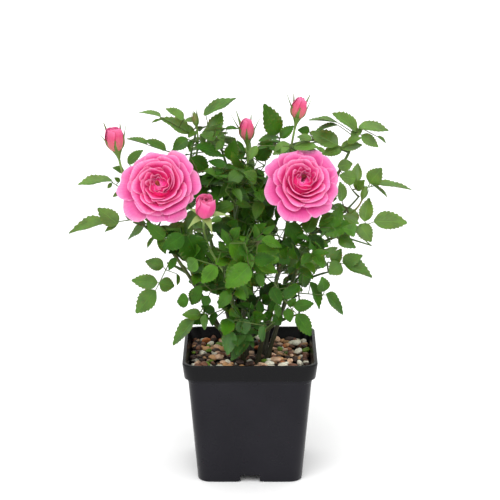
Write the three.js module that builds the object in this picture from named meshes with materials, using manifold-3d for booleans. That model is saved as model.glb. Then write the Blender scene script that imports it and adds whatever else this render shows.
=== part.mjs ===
// A miniature rose bush in a square nursery pot, in millimetres, +Z up.
// The origin is the middle of the pot's flat underside, and the front of the plant faces -Y.
// Canes stand on the gravel, boughs fork off the canes, and each mass of foliage grows from one stem.
import * as THREE from "three";
import { mergeVertices } from "three/addons/utils/BufferGeometryUtils.js";
import Module from "manifold-3d";

const wasm = await Module();
wasm.setup();
const { Manifold, Mesh } = wasm;

// Driving sizes of the pot
const POT_HEIGHT = 104;
const RIM_HALF = 55;
const RIM_BAND = 14;
const BODY_TOP_HALF = 50.5;
const FOOT_HALF = 42.8;
const WALL = 1.8;
const FLOOR = 9;
const LIP = 3;
const CORNER_RADIUS = 11;
const CORNER_STEPS = 4;
const BAND_DRAFT = 1.6;
const BAND_UNDERCUT = 2;
const RIM_ROUNDING = 0.8;
const EDGE_ROUNDING = 1.2;
const DRAIN = { width: 16, height: 6.5, depth: 24, archWidth: 24, archHeight: 2, archDepth: 5 };

// The gravel: a bed that fills the pot, with pebbles half sunk in its top
const GRAVEL_TOP = 93;
const PEBBLE = {
  spacing: 11.5, least: 4.2, most: 5.6, long: 1.2, broad: 0.95, flatness: 0.8, jitter: 2, tilt: 0.4,
};
const CANE_FOOT_ROOM = 3.5;

// Sizes that hold for the whole plant
const GAP = 0.3;
const CANE_FOOT_RADIUS = 1.9;
const CANE_TIP_RADIUS = 1.15;
const ROOT_FLARE = { swell: 1.5, share: 0.07 };
const BOUGH_TIP_RADIUS = 0.95;
const FLOWER_STEM_TIP_RADIUS = 0.9;
const TWIG_TIP_RADIUS = 0.7;
const LEAF_STALK_RADIUS = 0.55;
const LEAFLET_WIDTH = 0.62;
const LEAFLET_WIDEST = 0.42;
const LEAFLET_FOLD = 0.06;
const GOLDEN_ANGLE = THREE.MathUtils.degToRad(137.5);

// How limbs bend: where a cane's control point lies along it and up it, and where a forking limb's lies, with
// how far it follows its parent
const CANE_BEND = { along: 0.4, up: 0.55 };
const FORK_BEND = { along: 0.45, follow: 0.14 };

// A leaf is a stalk with a terminal leaflet and one pair, or two pairs where it is long. A pair sits at a
// share of the stalk; its length is a share of the whole leaf, and its turn from the stalk is in degrees.
const STALK_SHARE = 0.56;
const FIRST_PAIR = { at: 0.64, length: 0.37, turn: 56 };
const SECOND_PAIR = { at: 0.27, length: 0.3, turn: 62 };
const TWO_PAIR_SPAN = 43;
const LEAST_LEAFLETS = { reaching: 2, filling: 3 };
const FILL_SPANS = [56, 50, 44, 38];
const REACH_SPAN = 50;
const TWIG_SPANS = [26, 20, 15];
const TRIES = 7;

// How far from its mass's heart a leaf that only fills the mass may reach
const FILL_REACH = 40;

// How far things keep apart: from the border of a mass's space, from limbs, and leaflet from leaflet
const SPACE_MARGIN = 0.5;
const LIMB_CLEARANCE = 0.9;
const LEAFLET_ROOM = 8;

// Canes: the foot on the gravel and the tip
const CANES = [
  { name: "cane_left", foot: [-12, -7], tip: [-83, -27, 219] },
  { name: "cane_right", foot: [14, -5], tip: [80, 0, 268] },
  { name: "cane_front_right", foot: [6, -14], tip: [38, -24, 222] },
  { name: "cane_front", foot: [-5, -15], tip: [-22, -48, 188] },
  { name: "cane_centre", foot: [-3, 3], tip: [-14, 4, 238] },
  { name: "cane_back_left", foot: [-12, 10], tip: [-50, 38, 246] },
  { name: "cane_back_right", foot: [12, 10], tip: [42, 48, 244] },
  { name: "cane_back", foot: [1, 17], tip: [2, 78, 206] },
];

// Boughs: the cane each forks from, how far up it, and the tip
const BOUGHS = [
  { name: "bough_upper_left", on: "cane_back_left", fork: 0.72, tip: [-56, 12, 256] },
  { name: "bough_top_centre", on: "cane_back_right", fork: 0.72, tip: [28, 2, 262] },
  { name: "bough_right", on: "cane_right", fork: 0.56, tip: [76, -12, 221] },
];

// Open blooms: the middle of the flower's face, the way it faces, how wide it is, and its stem
const BLOOMS = [
  {
    name: "bloom_left", centre: [-72, -50, 252], faces: [-0.12, -0.93, 0.34], width: 63,
    stem: "stem_bloom_left", on: "cane_left", fork: 1,
  },
  {
    name: "bloom_right", centre: [41, -50, 254], faces: [0.1, -0.88, 0.46], width: 63,
    stem: "stem_bloom_right", on: "cane_front_right", fork: 1,
  },
];
const BLOOM_DEPTH = 17;
const BLOOM_PEDICEL = 8;

// Buds: the foot of the hip, the tip of the petals, the width, and how far the sepals lean out in degrees
const BUDS = [
  {
    name: "bud_left", base: [-105, -28, 273], top: [-109, -30, 295], width: 14, sepalLean: 24,
    stem: "stem_bud_left", on: "cane_left", fork: 0.85,
  },
  {
    name: "bud_centre", base: [-2, 2, 275], top: [-3, 3, 296], width: 11.5, sepalLean: 22,
    stem: "stem_bud_centre", on: "cane_centre", fork: 0.88,
  },
  {
    name: "bud_top", base: [37, -12, 296], top: [41, -11, 316], width: 12, sepalLean: 22,
    stem: "stem_bud_top", on: "bough_top_centre", fork: 0.7,
  },
  {
    name: "bud_front", base: [-36, -62, 229], top: [-34, -76, 251], width: 16, sepalLean: 118,
    stem: "stem_bud_front", on: "cane_front", fork: 0.9,
  },
];
const BUD_PEDICEL = 6;

// Young green buds, each on a thin stem of its own that is one piece with it
const GREEN_BUDS = [
  {
    name: "green_bud_left", base: [-43, -2, 290], top: [-45, -2, 302], width: 5,
    on: "bough_upper_left", fork: 0.7,
  },
  {
    name: "green_bud_right", base: [90, -26, 236], top: [93, -28, 247], width: 5.5,
    on: "bough_right", fork: 0.75,
  },
];

// Masses of foliage: the limb each stem grows on and where, the stem's top, the heart of the space that the
// mass keeps to, the leaf tips that make the plant's outline, and how many twigs and leaves fill the space
const MASSES = [
  {
    name: "foliage_far_left", on: "cane_left", fork: 0.8, top: [-108, -15, 228], heart: [-116, -12, 228],
    tips: [[-147, -20, 206], [-139, -10, 245], [-101, -42, 205], [-115, 16, 226], [-112, 0, 256]],
    twigs: 1, fill: 2,
  },
  {
    name: "foliage_upper_left", on: "bough_upper_left", fork: 1, top: [-68, 6, 284], heart: [-76, 4, 284],
    tips: [[-91, 10, 302], [-101, -10, 281], [-70, -24, 292], [-104, 2, 266]],
    twigs: 1, fill: 3,
  },
  {
    name: "foliage_top_left", on: "cane_centre", fork: 1, top: [-30, 8, 288], heart: [-26, 2, 292],
    tips: [[-11, 10, 312], [-24, -15, 306], [-46, 8, 311], [-50, -12, 296]],
    twigs: 1, fill: 3,
  },
  {
    name: "foliage_centre", on: "cane_centre", fork: 0.8, top: [-4, -16, 246], heart: [-14, -22, 244],
    tips: [[-14, -34, 276], [12, -34, 268], [-36, -34, 262]],
    twigs: 1, fill: 5,
  },
  {
    name: "foliage_top_centre", on: "bough_top_centre", fork: 1, top: [24, 0, 286], heart: [20, 2, 288],
    tips: [[8, -10, 309], [32, 14, 306], [56, 8, 296], [-2, 14, 300]],
    twigs: 1, fill: 3,
  },
  {
    name: "foliage_top_right", on: "cane_right", fork: 1, top: [82, 0, 288], heart: [80, 0, 284],
    tips: [[60, 10, 299], [76, 18, 301], [112, 0, 286], [104, -15, 274], [58, -14, 280]],
    twigs: 1, fill: 2,
  },
  {
    name: "foliage_right", on: "bough_right", fork: 1, top: [92, -6, 238], heart: [102, -2, 244],
    tips: [[131, -5, 238], [96, -20, 262], [118, 20, 252]],
    twigs: 1, fill: 3,
  },
  {
    name: "foliage_right_middle", on: "cane_right", fork: 0.5, top: [82, -24, 206], heart: [90, -26, 206],
    tips: [[127, -20, 216], [98, -34, 190], [110, 8, 204]],
    twigs: 1, fill: 3,
  },
  {
    name: "foliage_right_low", on: "cane_right", fork: 0.32, top: [64, -16, 172], heart: [72, -14, 170],
    tips: [[92, 10, 186], [100, -25, 168], [82, -30, 154]],
    twigs: 1, fill: 3,
  },
  {
    name: "foliage_foot_right", on: "cane_front_right", fork: 0.2, top: [40, -22, 138], heart: [44, -26, 136],
    tips: [[77, -25, 140], [49, -45, 124], [60, -2, 130]],
    twigs: 1, fill: 4,
  },
  {
    name: "foliage_left_low", on: "cane_left", fork: 0.6, top: [-74, -22, 184], heart: [-78, -20, 176],
    tips: [[-92, -25, 140], [-96, 4, 184], [-104, -24, 176]],
    twigs: 1, fill: 3,
  },
  {
    name: "foliage_foot_left", on: "cane_left", fork: 0.2, top: [-38, -24, 138], heart: [-42, -28, 136],
    tips: [[-62, -42, 112], [-36, -42, 116], [-62, -4, 132]],
    twigs: 1, fill: 4,
  },
  {
    name: "foliage_front", on: "cane_front", fork: 1, top: [-8, -60, 204], heart: [-6, -56, 198],
    tips: [[-19, -78, 184], [23, -74, 205], [-8, -80, 226]],
    twigs: 1, fill: 6,
  },
  {
    name: "foliage_foot_front", on: "cane_front", fork: 0.25, top: [-2, -36, 138], heart: [0, -40, 140],
    tips: [[-16, -56, 110], [14, -46, 114], [12, -64, 150]],
    twigs: 1, fill: 6,
  },
  {
    name: "foliage_left_front", on: "cane_left", fork: 0.46, top: [-52, -42, 198], heart: [-52, -44, 194],
    tips: [[-38, -72, 190], [-80, -58, 206], [-58, -70, 172]],
    twigs: 1, fill: 5,
  },
  {
    name: "foliage_right_front", on: "cane_front_right", fork: 0.62, top: [44, -48, 200],
    heart: [44, -46, 194],
    tips: [[72, -64, 190], [52, -74, 170], [24, -70, 176], [60, -30, 176]],
    twigs: 1, fill: 5,
  },
  {
    name: "foliage_middle", on: "cane_centre", fork: 0.45, top: [8, 16, 196], heart: [4, 10, 194],
    tips: [[36, 8, 206], [-36, 6, 204]],
    twigs: 1, fill: 5,
  },
  {
    name: "foliage_back_left", on: "cane_back_left", fork: 0.62, top: [-68, 54, 230], heart: [-74, 56, 228],
    tips: [[-112, 58, 236], [-90, 84, 258], [-74, 98, 210]],
    twigs: 1, fill: 2,
  },
  {
    name: "foliage_back_right", on: "cane_back_right", fork: 0.62, top: [66, 60, 228], heart: [70, 58, 226],
    tips: [[112, 56, 238], [88, 88, 256], [72, 98, 206]],
    twigs: 1, fill: 2,
  },
  {
    name: "foliage_back_top_left", on: "cane_back_left", fork: 1, top: [-44, 48, 276], heart: [-42, 52, 280],
    tips: [[-66, 66, 300], [-24, 58, 308], [-50, 92, 278]],
    twigs: 1, fill: 2,
  },
  {
    name: "foliage_back_top_right", on: "cane_back_right", fork: 1, top: [44, 50, 274], heart: [42, 52, 278],
    tips: [[64, 60, 302], [18, 64, 304], [60, 92, 274]],
    twigs: 1, fill: 2,
  },
  {
    name: "foliage_back", on: "cane_back", fork: 1, top: [2, 92, 226], heart: [0, 90, 228],
    tips: [[0, 124, 248], [-34, 116, 214], [34, 116, 218], [4, 100, 272]],
    twigs: 1, fill: 2,
  },
  {
    name: "foliage_back_low_left", on: "cane_back_left", fork: 0.22, top: [-36, 46, 156],
    heart: [-40, 52, 160],
    tips: [[-80, 60, 160], [-44, 88, 142], [-64, 40, 130]],
    twigs: 1, fill: 2,
  },
  {
    name: "foliage_back_low_right", on: "cane_back_right", fork: 0.22, top: [36, 48, 152],
    heart: [40, 52, 158],
    tips: [[80, 60, 164], [46, 88, 140], [64, 36, 130]],
    twigs: 1, fill: 2,
  },
];

const COLOURS = {
  pot: { color: 0x1f2124, roughness: 0.5, metalness: 0 },
  gravel: { color: 0x8a7463, roughness: 0.85, metalness: 0 },
  cane: { color: 0x5f7a35, roughness: 0.6, metalness: 0 },
  foliage: { color: 0x4c7d35, roughness: 0.55, metalness: 0 },
  petal: { color: 0xec5fa6, roughness: 0.6, metalness: 0 },
  green_bud: { color: 0x86a24a, roughness: 0.6, metalness: 0 },
};

// Small tools

const { lerp, degToRad } = THREE.MathUtils;
const vector = (numbers) => new THREE.Vector3(...numbers);
const moved = (point, way, distance) => point.clone().addScaledVector(way, distance);
const UP = vector([0, 0, 1]);

// Numbers between two limits that look random and are the same on every run.
function dice(seed) {
  let state = seed;
  return (low, high) => {
    state = (state * 16807) % 2147483647;
    return low + ((high - low) * state) / 2147483647;
  };
}

function solid(points, faces) {
  const vertProperties = new Float32Array(points.flatMap((p) => [p.x, p.y, p.z]));
  return new Manifold(new Mesh({ numProp: 3, vertProperties, triVerts: new Uint32Array(faces.flat()) }));
}

function solidOfGeometry(geometry) {
  const bare = geometry.clone();
  bare.deleteAttribute("normal");
  bare.deleteAttribute("uv");
  const merged = mergeVertices(bare, 1e-4);
  const vertProperties = new Float32Array(merged.attributes.position.array);
  const triVerts = new Uint32Array(merged.index.array);
  return new Manifold(new Mesh({ numProp: 3, vertProperties, triVerts }));
}

// Closed rings of points, all with the same count, skinned into one solid with a flat fan on each end.
function loft(rings) {
  const count = rings[0].length;
  const faces = [];
  for (let r = 0; r + 1 < rings.length; r++)
    for (let i = 0; i < count; i++) {
      const a = r * count + i;
      const b = r * count + ((i + 1) % count);
      faces.push([a, b, b + count], [a, b + count, a + count]);
    }
  const last = (rings.length - 1) * count;
  for (let i = 1; i + 1 < count; i++) faces.push([0, i + 1, i], [last, last + i, last + i + 1]);
  return solid(rings.flat(), faces);
}

function ring(centre, across, over, radius, sides) {
  return Array.from({ length: sides }, (_, i) => {
    const angle = (2 * Math.PI * i) / sides;
    return moved(moved(centre, across, radius * Math.cos(angle)), over, radius * Math.sin(angle));
  });
}

function anyNormal(direction) {
  const other = Math.abs(direction.z) < 0.9 ? UP : vector([1, 0, 0]);
  return other.clone().cross(direction).normalize();
}

// A tapering tube along a curve; radiusAt gives its radius from 0 at the foot to 1 at the tip. Where a foot
// normal is given, the foot is cut flat across that direction.
function tube(curve, radiusAt, sides, steps, footNormal = null) {
  let across = anyNormal(curve.getTangent(0));
  const rings = [];
  for (let s = 0; s <= steps; s++) {
    const tangent = curve.getTangent(s / steps);
    across = moved(across, tangent, -across.dot(tangent)).normalize();
    const over = tangent.clone().cross(across);
    rings.push(ring(curve.getPoint(s / steps), across, over, radiusAt(s / steps), sides));
  }
  if (footNormal) {
    const foot = curve.getPoint(0);
    const tangent = curve.getTangent(0);
    const lean = tangent.dot(footNormal);
    rings[0] = rings[0].map((p) => moved(p, tangent, -p.clone().sub(foot).dot(footNormal) / lean));
  }
  return loft(rings);
}

// Joins solids and keeps the largest body, so that no loose scrap or sealed hollow is left.
function fused(solids) {
  const bodies = Manifold.union(solids).decompose();
  return bodies.reduce((best, body) => (body.volume() > best.volume() ? body : best));
}

function meshOf(name, manifold, look) {
  const { vertProperties, triVerts } = manifold.getMesh();
  const geometry = new THREE.BufferGeometry();
  geometry.setAttribute("position", new THREE.BufferAttribute(vertProperties, 3));
  geometry.setIndex(new THREE.BufferAttribute(triVerts, 1));
  geometry.computeVertexNormals();
  const mesh = new THREE.Mesh(geometry, new THREE.MeshStandardMaterial(COLOURS[look]));
  mesh.name = name;
  return mesh;
}

// The pot

const BAND_FOOT = POT_HEIGHT - RIM_BAND;

function roundedSquare(half, radius, z) {
  const inner = half - radius;
  const points = [];
  for (let corner = 0; corner < 4; corner++) {
    const start = (corner * Math.PI) / 2;
    const middleX = inner * Math.sign(Math.cos(start + Math.PI / 4));
    const middleY = inner * Math.sign(Math.sin(start + Math.PI / 4));
    for (let i = 0; i <= CORNER_STEPS; i++) {
      const angle = start + (i * Math.PI) / 2 / CORNER_STEPS;
      points.push(vector([middleX + radius * Math.cos(angle), middleY + radius * Math.sin(angle), z]));
    }
  }
  return points;
}

// Half widths of the pot at a height: the outer wall below the rim, and the inner wall all the way up.
function outerHalf(z) {
  return lerp(FOOT_HALF, BODY_TOP_HALF, z / BAND_FOOT);
}

function innerHalf(z) {
  if (z <= BAND_FOOT) return outerHalf(z) - WALL;
  return lerp(outerHalf(BAND_FOOT) - WALL, RIM_HALF - LIP, (z - BAND_FOOT) / (POT_HEIGHT - BAND_FOOT));
}

function pot() {
  const bandHalf = RIM_HALF - BAND_DRAFT;
  const outside = loft([
    roundedSquare(FOOT_HALF - EDGE_ROUNDING, CORNER_RADIUS, 0),
    roundedSquare(outerHalf(EDGE_ROUNDING), CORNER_RADIUS, EDGE_ROUNDING),
    roundedSquare(BODY_TOP_HALF, CORNER_RADIUS, BAND_FOOT),
    roundedSquare(bandHalf - EDGE_ROUNDING, CORNER_RADIUS, BAND_FOOT + 0.4),
    roundedSquare(bandHalf, CORNER_RADIUS, BAND_FOOT + BAND_UNDERCUT),
    roundedSquare(RIM_HALF, CORNER_RADIUS, POT_HEIGHT - EDGE_ROUNDING),
    roundedSquare(RIM_HALF - RIM_ROUNDING, CORNER_RADIUS, POT_HEIGHT),
  ]);
  const innerCorner = CORNER_RADIUS - WALL;
  const overTop = POT_HEIGHT + 1;
  const inside = loft([
    roundedSquare(innerHalf(FLOOR), innerCorner, FLOOR),
    roundedSquare(innerHalf(BAND_FOOT), innerCorner, BAND_FOOT),
    roundedSquare(innerHalf(overTop), innerCorner, overTop),
  ]);
  return outside.subtract(inside).subtract(Manifold.union(drainCuts()));
}

// At the foot of each wall, a drain recess under the floor with a low arch on both sides of it.
function drainCuts() {
  const overlap = 2;
  const recess = new THREE.BoxGeometry(DRAIN.width, DRAIN.depth + overlap, 2 * DRAIN.height);
  recess.translate(0, -FOOT_HALF + (DRAIN.depth - overlap) / 2, 0);
  const arch = new THREE.CylinderGeometry(1, 1, DRAIN.archDepth, 12);
  arch.scale(DRAIN.archWidth / 2, 1, DRAIN.archHeight);
  arch.translate(0, -FOOT_HALF, 0);
  return [recess, arch].flatMap((shape) =>
    [0, 1, 2, 3].map((side) => solidOfGeometry(shape.clone().rotateZ((side * Math.PI) / 2))),
  );
}

// The gravel

function gravelBed() {
  const bottom = FLOOR + GAP;
  const corner = CORNER_RADIUS - WALL;
  const layer = (z) => roundedSquare(innerHalf(z) - GAP, corner, z);
  const bed = loft([layer(bottom), layer(BAND_FOOT), layer(GRAVEL_TOP)]);
  const roll = dice(4711);
  const pebbles = [];
  const reach = innerHalf(GRAVEL_TOP) - PEBBLE.long * PEBBLE.most - PEBBLE.jitter;
  const rows = Math.floor(reach / PEBBLE.spacing);
  for (let row = -rows; row <= rows; row++)
    for (let column = -rows; column <= rows; column++) {
      const x = column * PEBBLE.spacing + roll(-PEBBLE.jitter, PEBBLE.jitter);
      const y = row * PEBBLE.spacing + roll(-PEBBLE.jitter, PEBBLE.jitter);
      const size = roll(PEBBLE.least, PEBBLE.most);
      const stone = new THREE.OctahedronGeometry(size, 0);
      stone.scale(PEBBLE.long, PEBBLE.broad, PEBBLE.flatness);
      stone.rotateX(roll(-PEBBLE.tilt, PEBBLE.tilt)).rotateZ(roll(0, Math.PI)).translate(x, y, GRAVEL_TOP);
      const room = PEBBLE.long * size + CANE_FOOT_ROOM;
      const clear = CANES.every(({ foot }) => Math.hypot(foot[0] - x, foot[1] - y) > room);
      if (clear) pebbles.push(solidOfGeometry(stone));
    }
  return fused([bed, ...pebbles]);
}

// Limbs: canes, boughs, and the stems of flowers and foliage. Each is a curve with a tapering radius, and
// knows its parent and the direction that its foot is cut across.

const limbs = new Map();

function addCane({ name, foot, tip }) {
  const start = vector([...foot, GRAVEL_TOP + GAP]);
  const end = vector(tip);
  const control = start.clone().lerp(end, CANE_BEND.along);
  control.z = lerp(start.z, end.z, CANE_BEND.up);
  const radiusAt = (t) => {
    const flare = (ROOT_FLARE.swell - 1) * Math.max(0, 1 - t / ROOT_FLARE.share) ** 2;
    return lerp(CANE_FOOT_RADIUS, CANE_TIP_RADIUS, t) * (1 + flare);
  };
  const curve = new THREE.QuadraticBezierCurve3(start, control, end);
  limbs.set(name, { name, curve, radiusAt, sides: 6, steps: 7, footNormal: UP });
}

// A limb that grows from its parent's tip, or from the side of it at a fork, and ends at a point. Where no
// way of arriving is given, it sets off between the parent's way and its own.
function addFork(name, { on, fork }, end, tipRadius, { sides, steps, arriving = null }) {
  const parent = limbs.get(on);
  const rise = parent.curve.getTangent(fork);
  const atTip = fork === 1;
  const start = moved(parent.curve.getPoint(fork), rise, atTip ? GAP : 0);
  const length = start.distanceTo(end);
  const setOff = moved(start.clone().lerp(end, FORK_BEND.along), rise, FORK_BEND.follow * length);
  const control = arriving ? moved(end, arriving, -FORK_BEND.along * length) : setOff;
  const rootRadius = Math.min(parent.radiusAt(fork), Math.max(tipRadius, 0.9 * parent.radiusAt(fork)));
  const curve = new THREE.QuadraticBezierCurve3(start, control, end);
  const radiusAt = (t) => lerp(rootRadius, tipRadius, t);
  limbs.set(name, { name, curve, radiusAt, sides, steps, parent, footNormal: atTip ? rise : null });
}

function limbTube({ curve, radiusAt, sides, steps, footNormal }, growth = 0) {
  return tube(curve, (t) => radiusAt(t) + growth, sides, steps, footNormal);
}

// Cuts a body back from the side of the limb that it grows on, by the gap.
function clearOf(body, limb) {
  if (limb.footNormal || !limb.parent) return body;
  const growth = GAP / Math.cos(Math.PI / limb.parent.sides);
  return fused([body.subtract(limbTube(limb.parent, growth))]);
}

function limbSolid(name) {
  const limb = limbs.get(name);
  return clearOf(limbTube(limb), limb);
}

// Balls along a limb, close enough together to test leaves against.
function ballsAlong({ name, curve, radiusAt }) {
  const steps = Math.ceil(curve.getLength() / 1.5);
  return Array.from({ length: steps + 1 }, (_, i) => ({
    name,
    point: curve.getPoint(i / steps),
    radius: radiusAt(i / steps),
  }));
}

// Flowers

// A flower's own frame: its axis out of the calyx, and two directions across it.
function frameAlong(axis) {
  const across = anyNormal(axis);
  return { axis, across, over: axis.clone().cross(across) };
}

function place(frame, origin, radial, around, along) {
  const sideways = moved(origin, frame.across, radial * Math.cos(around));
  return moved(moved(sideways, frame.over, radial * Math.sin(around)), frame.axis, along);
}

// Whorls of petals from the outer one to the eye. Each is one folded ring: its rim lies at a radius and a
// height above the neck, as shares of the bloom's width, and dips between its petals.
const WHORLS = [
  { petals: 6, rim: 0.5, height: 0.14, crease: 0.29, dip: 0.1, turn: 0 },
  { petals: 6, rim: 0.375, height: 0.25, crease: 0.2, dip: 0.07, turn: 0.5 },
  { petals: 4, rim: 0.25, height: 0.31, crease: 0.12, dip: 0.05, turn: 0.25 },
  { petals: 3, rim: 0.125, height: 0.33, crease: 0, dip: 0.03, turn: 0.6 },
];
const BLOOM_SIDES = 24;
const PETAL_THICKNESS = 1.3;
const CREASE_HEIGHT = 0.17;
const BLOOM_CALYX = [[-1, 3], [3, 3.4]];
const SEPALS = 5;
const SEPAL_TURN = 0.3;
const BLOOM_SEPAL = { length: 17, width: 4.5, lean: 104 };

// A ring of points about the flower's axis whose radius and height swing with the whorl's petals.
function whorlRing(frame, neck, radius, height, dip, { petals, turn }) {
  return Array.from({ length: BLOOM_SIDES }, (_, i) => {
    const around = (2 * Math.PI * i) / BLOOM_SIDES;
    const sunk = dip * (1 - Math.abs(Math.cos((petals * around) / 2 + turn * Math.PI)));
    return place(frame, neck, radius - sunk, around, height - 0.4 * sunk);
  });
}

// The head of a bloom: its calyx, then every whorl's outside, rim and inside, down to the eye.
function bloomHead(frame, neck, width) {
  const round = { petals: 1, turn: 0 };
  const rings = BLOOM_CALYX.map(([along, radius]) => whorlRing(frame, neck, radius, along, 0, round));
  WHORLS.forEach(({ rim, height, crease, dip, ...whorl }) => {
    rings.push(whorlRing(frame, neck, rim * width, height * width - PETAL_THICKNESS, dip * width, whorl));
    const lip = rim * width - 0.4 * PETAL_THICKNESS;
    rings.push(whorlRing(frame, neck, lip, height * width, dip * width, whorl));
    rings.push(whorlRing(frame, neck, Math.max(0.6, crease * width), CREASE_HEIGHT * width, 0, round));
  });
  return loft(rings);
}

// A solid of revolution about the flower's axis, from pairs of distance along it and radius.
function turned(frame, origin, profile, sides) {
  return loft(
    profile.map(([along, radius]) =>
      ring(moved(origin, frame.axis, along), frame.across, frame.over, radius, sides),
    ),
  );
}

// A sepal: a slender blade of eight faces, rooted in the calyx and leaning out from the flower's axis.
function sepal(frame, base, around, { length, width, lean }) {
  const out = degToRad(lean);
  const at = (share, lift) => {
    const radial = 1 + Math.sin(out) * share * length + lift * Math.cos(out);
    return place(frame, base, radial, around, Math.cos(out) * share * length - lift * Math.sin(out));
  };
  const outward = place(frame, base, 1, around, 0).sub(base);
  const beside = frame.axis.clone().cross(outward);
  const widest = at(0.35, 0);
  const corners = [at(0, 0), moved(widest, beside, -width / 2), at(1, 0), moved(widest, beside, width / 2)];
  const faces = [[0, 1, 4], [1, 2, 4], [2, 3, 4], [3, 0, 4], [1, 0, 5], [2, 1, 5], [3, 2, 5], [0, 3, 5]];
  return solid([...corners, at(0.35, 0.6), at(0.35, -0.6)], faces);
}

function sepals(frame, base, shape) {
  const around = (i) => (2 * Math.PI * (i + SEPAL_TURN)) / SEPALS;
  return Array.from({ length: SEPALS }, (_, i) => sepal(frame, base, around(i), shape));
}

// The short stalk between a flower's stem and its head.
function pedicel(frame, neck, length) {
  return turned(frame, neck, [[-length, FLOWER_STEM_TIP_RADIUS], [1, FLOWER_STEM_TIP_RADIUS]], 6);
}

// A flower's frame, the neck that its head sits on, and its pedicel's length.
function setting(flower) {
  if (flower.faces) {
    const frame = frameAlong(vector(flower.faces).normalize());
    const neck = moved(vector(flower.centre), frame.axis, -BLOOM_DEPTH);
    return { frame, neck, pedicelLength: BLOOM_PEDICEL };
  }
  const neck = vector(flower.base);
  const axis = vector(flower.top).sub(neck);
  const length = axis.length();
  return { frame: frameAlong(axis.normalize()), neck, pedicelLength: BUD_PEDICEL, length };
}

// A flower's stem ends just short of the pedicel, in line with it.
function addFlowerStem(flower) {
  const { frame, neck, pedicelLength } = setting(flower);
  const end = moved(neck, frame.axis, -pedicelLength - GAP);
  const shape = { sides: 6, steps: 5, arriving: frame.axis };
  addFork(flower.stem, flower, end, FLOWER_STEM_TIP_RADIUS, shape);
}

function bloomSolid(bloom) {
  const { frame, neck, pedicelLength } = setting(bloom);
  const head = bloomHead(frame, neck, bloom.width);
  return fused([pedicel(frame, neck, pedicelLength), head, ...sepals(frame, neck, BLOOM_SEPAL)]);
}

// A bud's outline from the foot of the hip to the tip: shares of its length, and of its half width.
const BUD_OUTLINE = [
  [-0.04, 0.14], [0.1, 0.4], [0.22, 0.44], [0.36, 0.88], [0.55, 1], [0.8, 0.72], [1, 0.12],
];

function budHead({ frame, neck, length }, width, sides) {
  const profile = BUD_OUTLINE.map(([along, radius]) => [along * length, (radius * width) / 2]);
  return turned(frame, neck, profile, sides);
}

function budSolid(bud) {
  const { frame, neck, pedicelLength, length } = setting(bud);
  const hip = moved(neck, frame.axis, 0.14 * length);
  const shape = { length: 0.92 * length, width: 0.3 * bud.width, lean: bud.sepalLean };
  const head = budHead({ frame, neck, length }, bud.width, 8);
  return fused([pedicel(frame, neck, pedicelLength), head, ...sepals(frame, hip, shape)]);
}

function addGreenBudStem(bud) {
  const { frame, neck } = setting(bud);
  addFork(bud.name, bud, neck, TWIG_TIP_RADIUS, { sides: 5, steps: 4, arriving: frame.axis });
}

function greenBudSolid(bud) {
  const limb = limbs.get(bud.name);
  return clearOf(fused([limbTube(limb), budHead(setting(bud), bud.width, 6)]), limb);
}

// Balls that cover the flowers' heads, so that leaves keep off them.
function ballsOfFlowers() {
  const balls = [];
  for (const bloom of BLOOMS) {
    const { frame, neck } = setting(bloom);
    balls.push({ name: bloom.name, point: moved(neck, frame.axis, 6), radius: 12 });
    for (let i = 0; i < 16; i++)
      for (const share of [0.22, 0.38]) {
        const point = place(frame, neck, share * bloom.width, (i * Math.PI) / 8, 12);
        balls.push({ name: bloom.name, point, radius: 8.5 });
      }
  }
  for (const bud of [...BUDS, ...GREEN_BUDS]) {
    const { frame, neck, length } = setting(bud);
    const radius = 0.5 * bud.width + 2;
    for (const share of [-0.2, 0.2, 0.6, 1])
      balls.push({ name: bud.name, point: moved(neck, frame.axis, share * length), radius });
  }
  return balls;
}

// Foliage

// True if the point lies inside the mass's own space: nearer its heart than any other heart, by the margin.
function inSpace(point, mass, margin = SPACE_MARGIN) {
  const heart = vector(mass.heart);
  return MASSES.every((other) => {
    if (other === mass) return true;
    const far = vector(other.heart);
    const beyond = point.distanceToSquared(far) - point.distanceToSquared(heart);
    return beyond / (2 * far.distanceTo(heart)) > margin;
  });
}

// Nothing green dips under the rim inside the pot's outline.
function abovePot(point) {
  const beside = Math.max(Math.abs(point.x), Math.abs(point.y)) > RIM_HALF + 2;
  return beside || point.z > POT_HEIGHT + 1;
}

// A leaflet: its foot, the way it points, the way its upper side faces, and its corners.
function leaflet(from, direction, normal, length) {
  const face = moved(normal, direction, -normal.dot(direction)).normalize();
  const side = direction.clone().cross(face);
  const widest = moved(from, direction, LEAFLET_WIDEST * length);
  const half = (LEAFLET_WIDTH * length) / 2;
  const margin = (reach) => moved(moved(widest, side, reach), face, LEAFLET_FOLD * length);
  return {
    from, direction, face, side, length, widest,
    tip: moved(from, direction, length), left: margin(-half), right: margin(half),
  };
}

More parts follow.
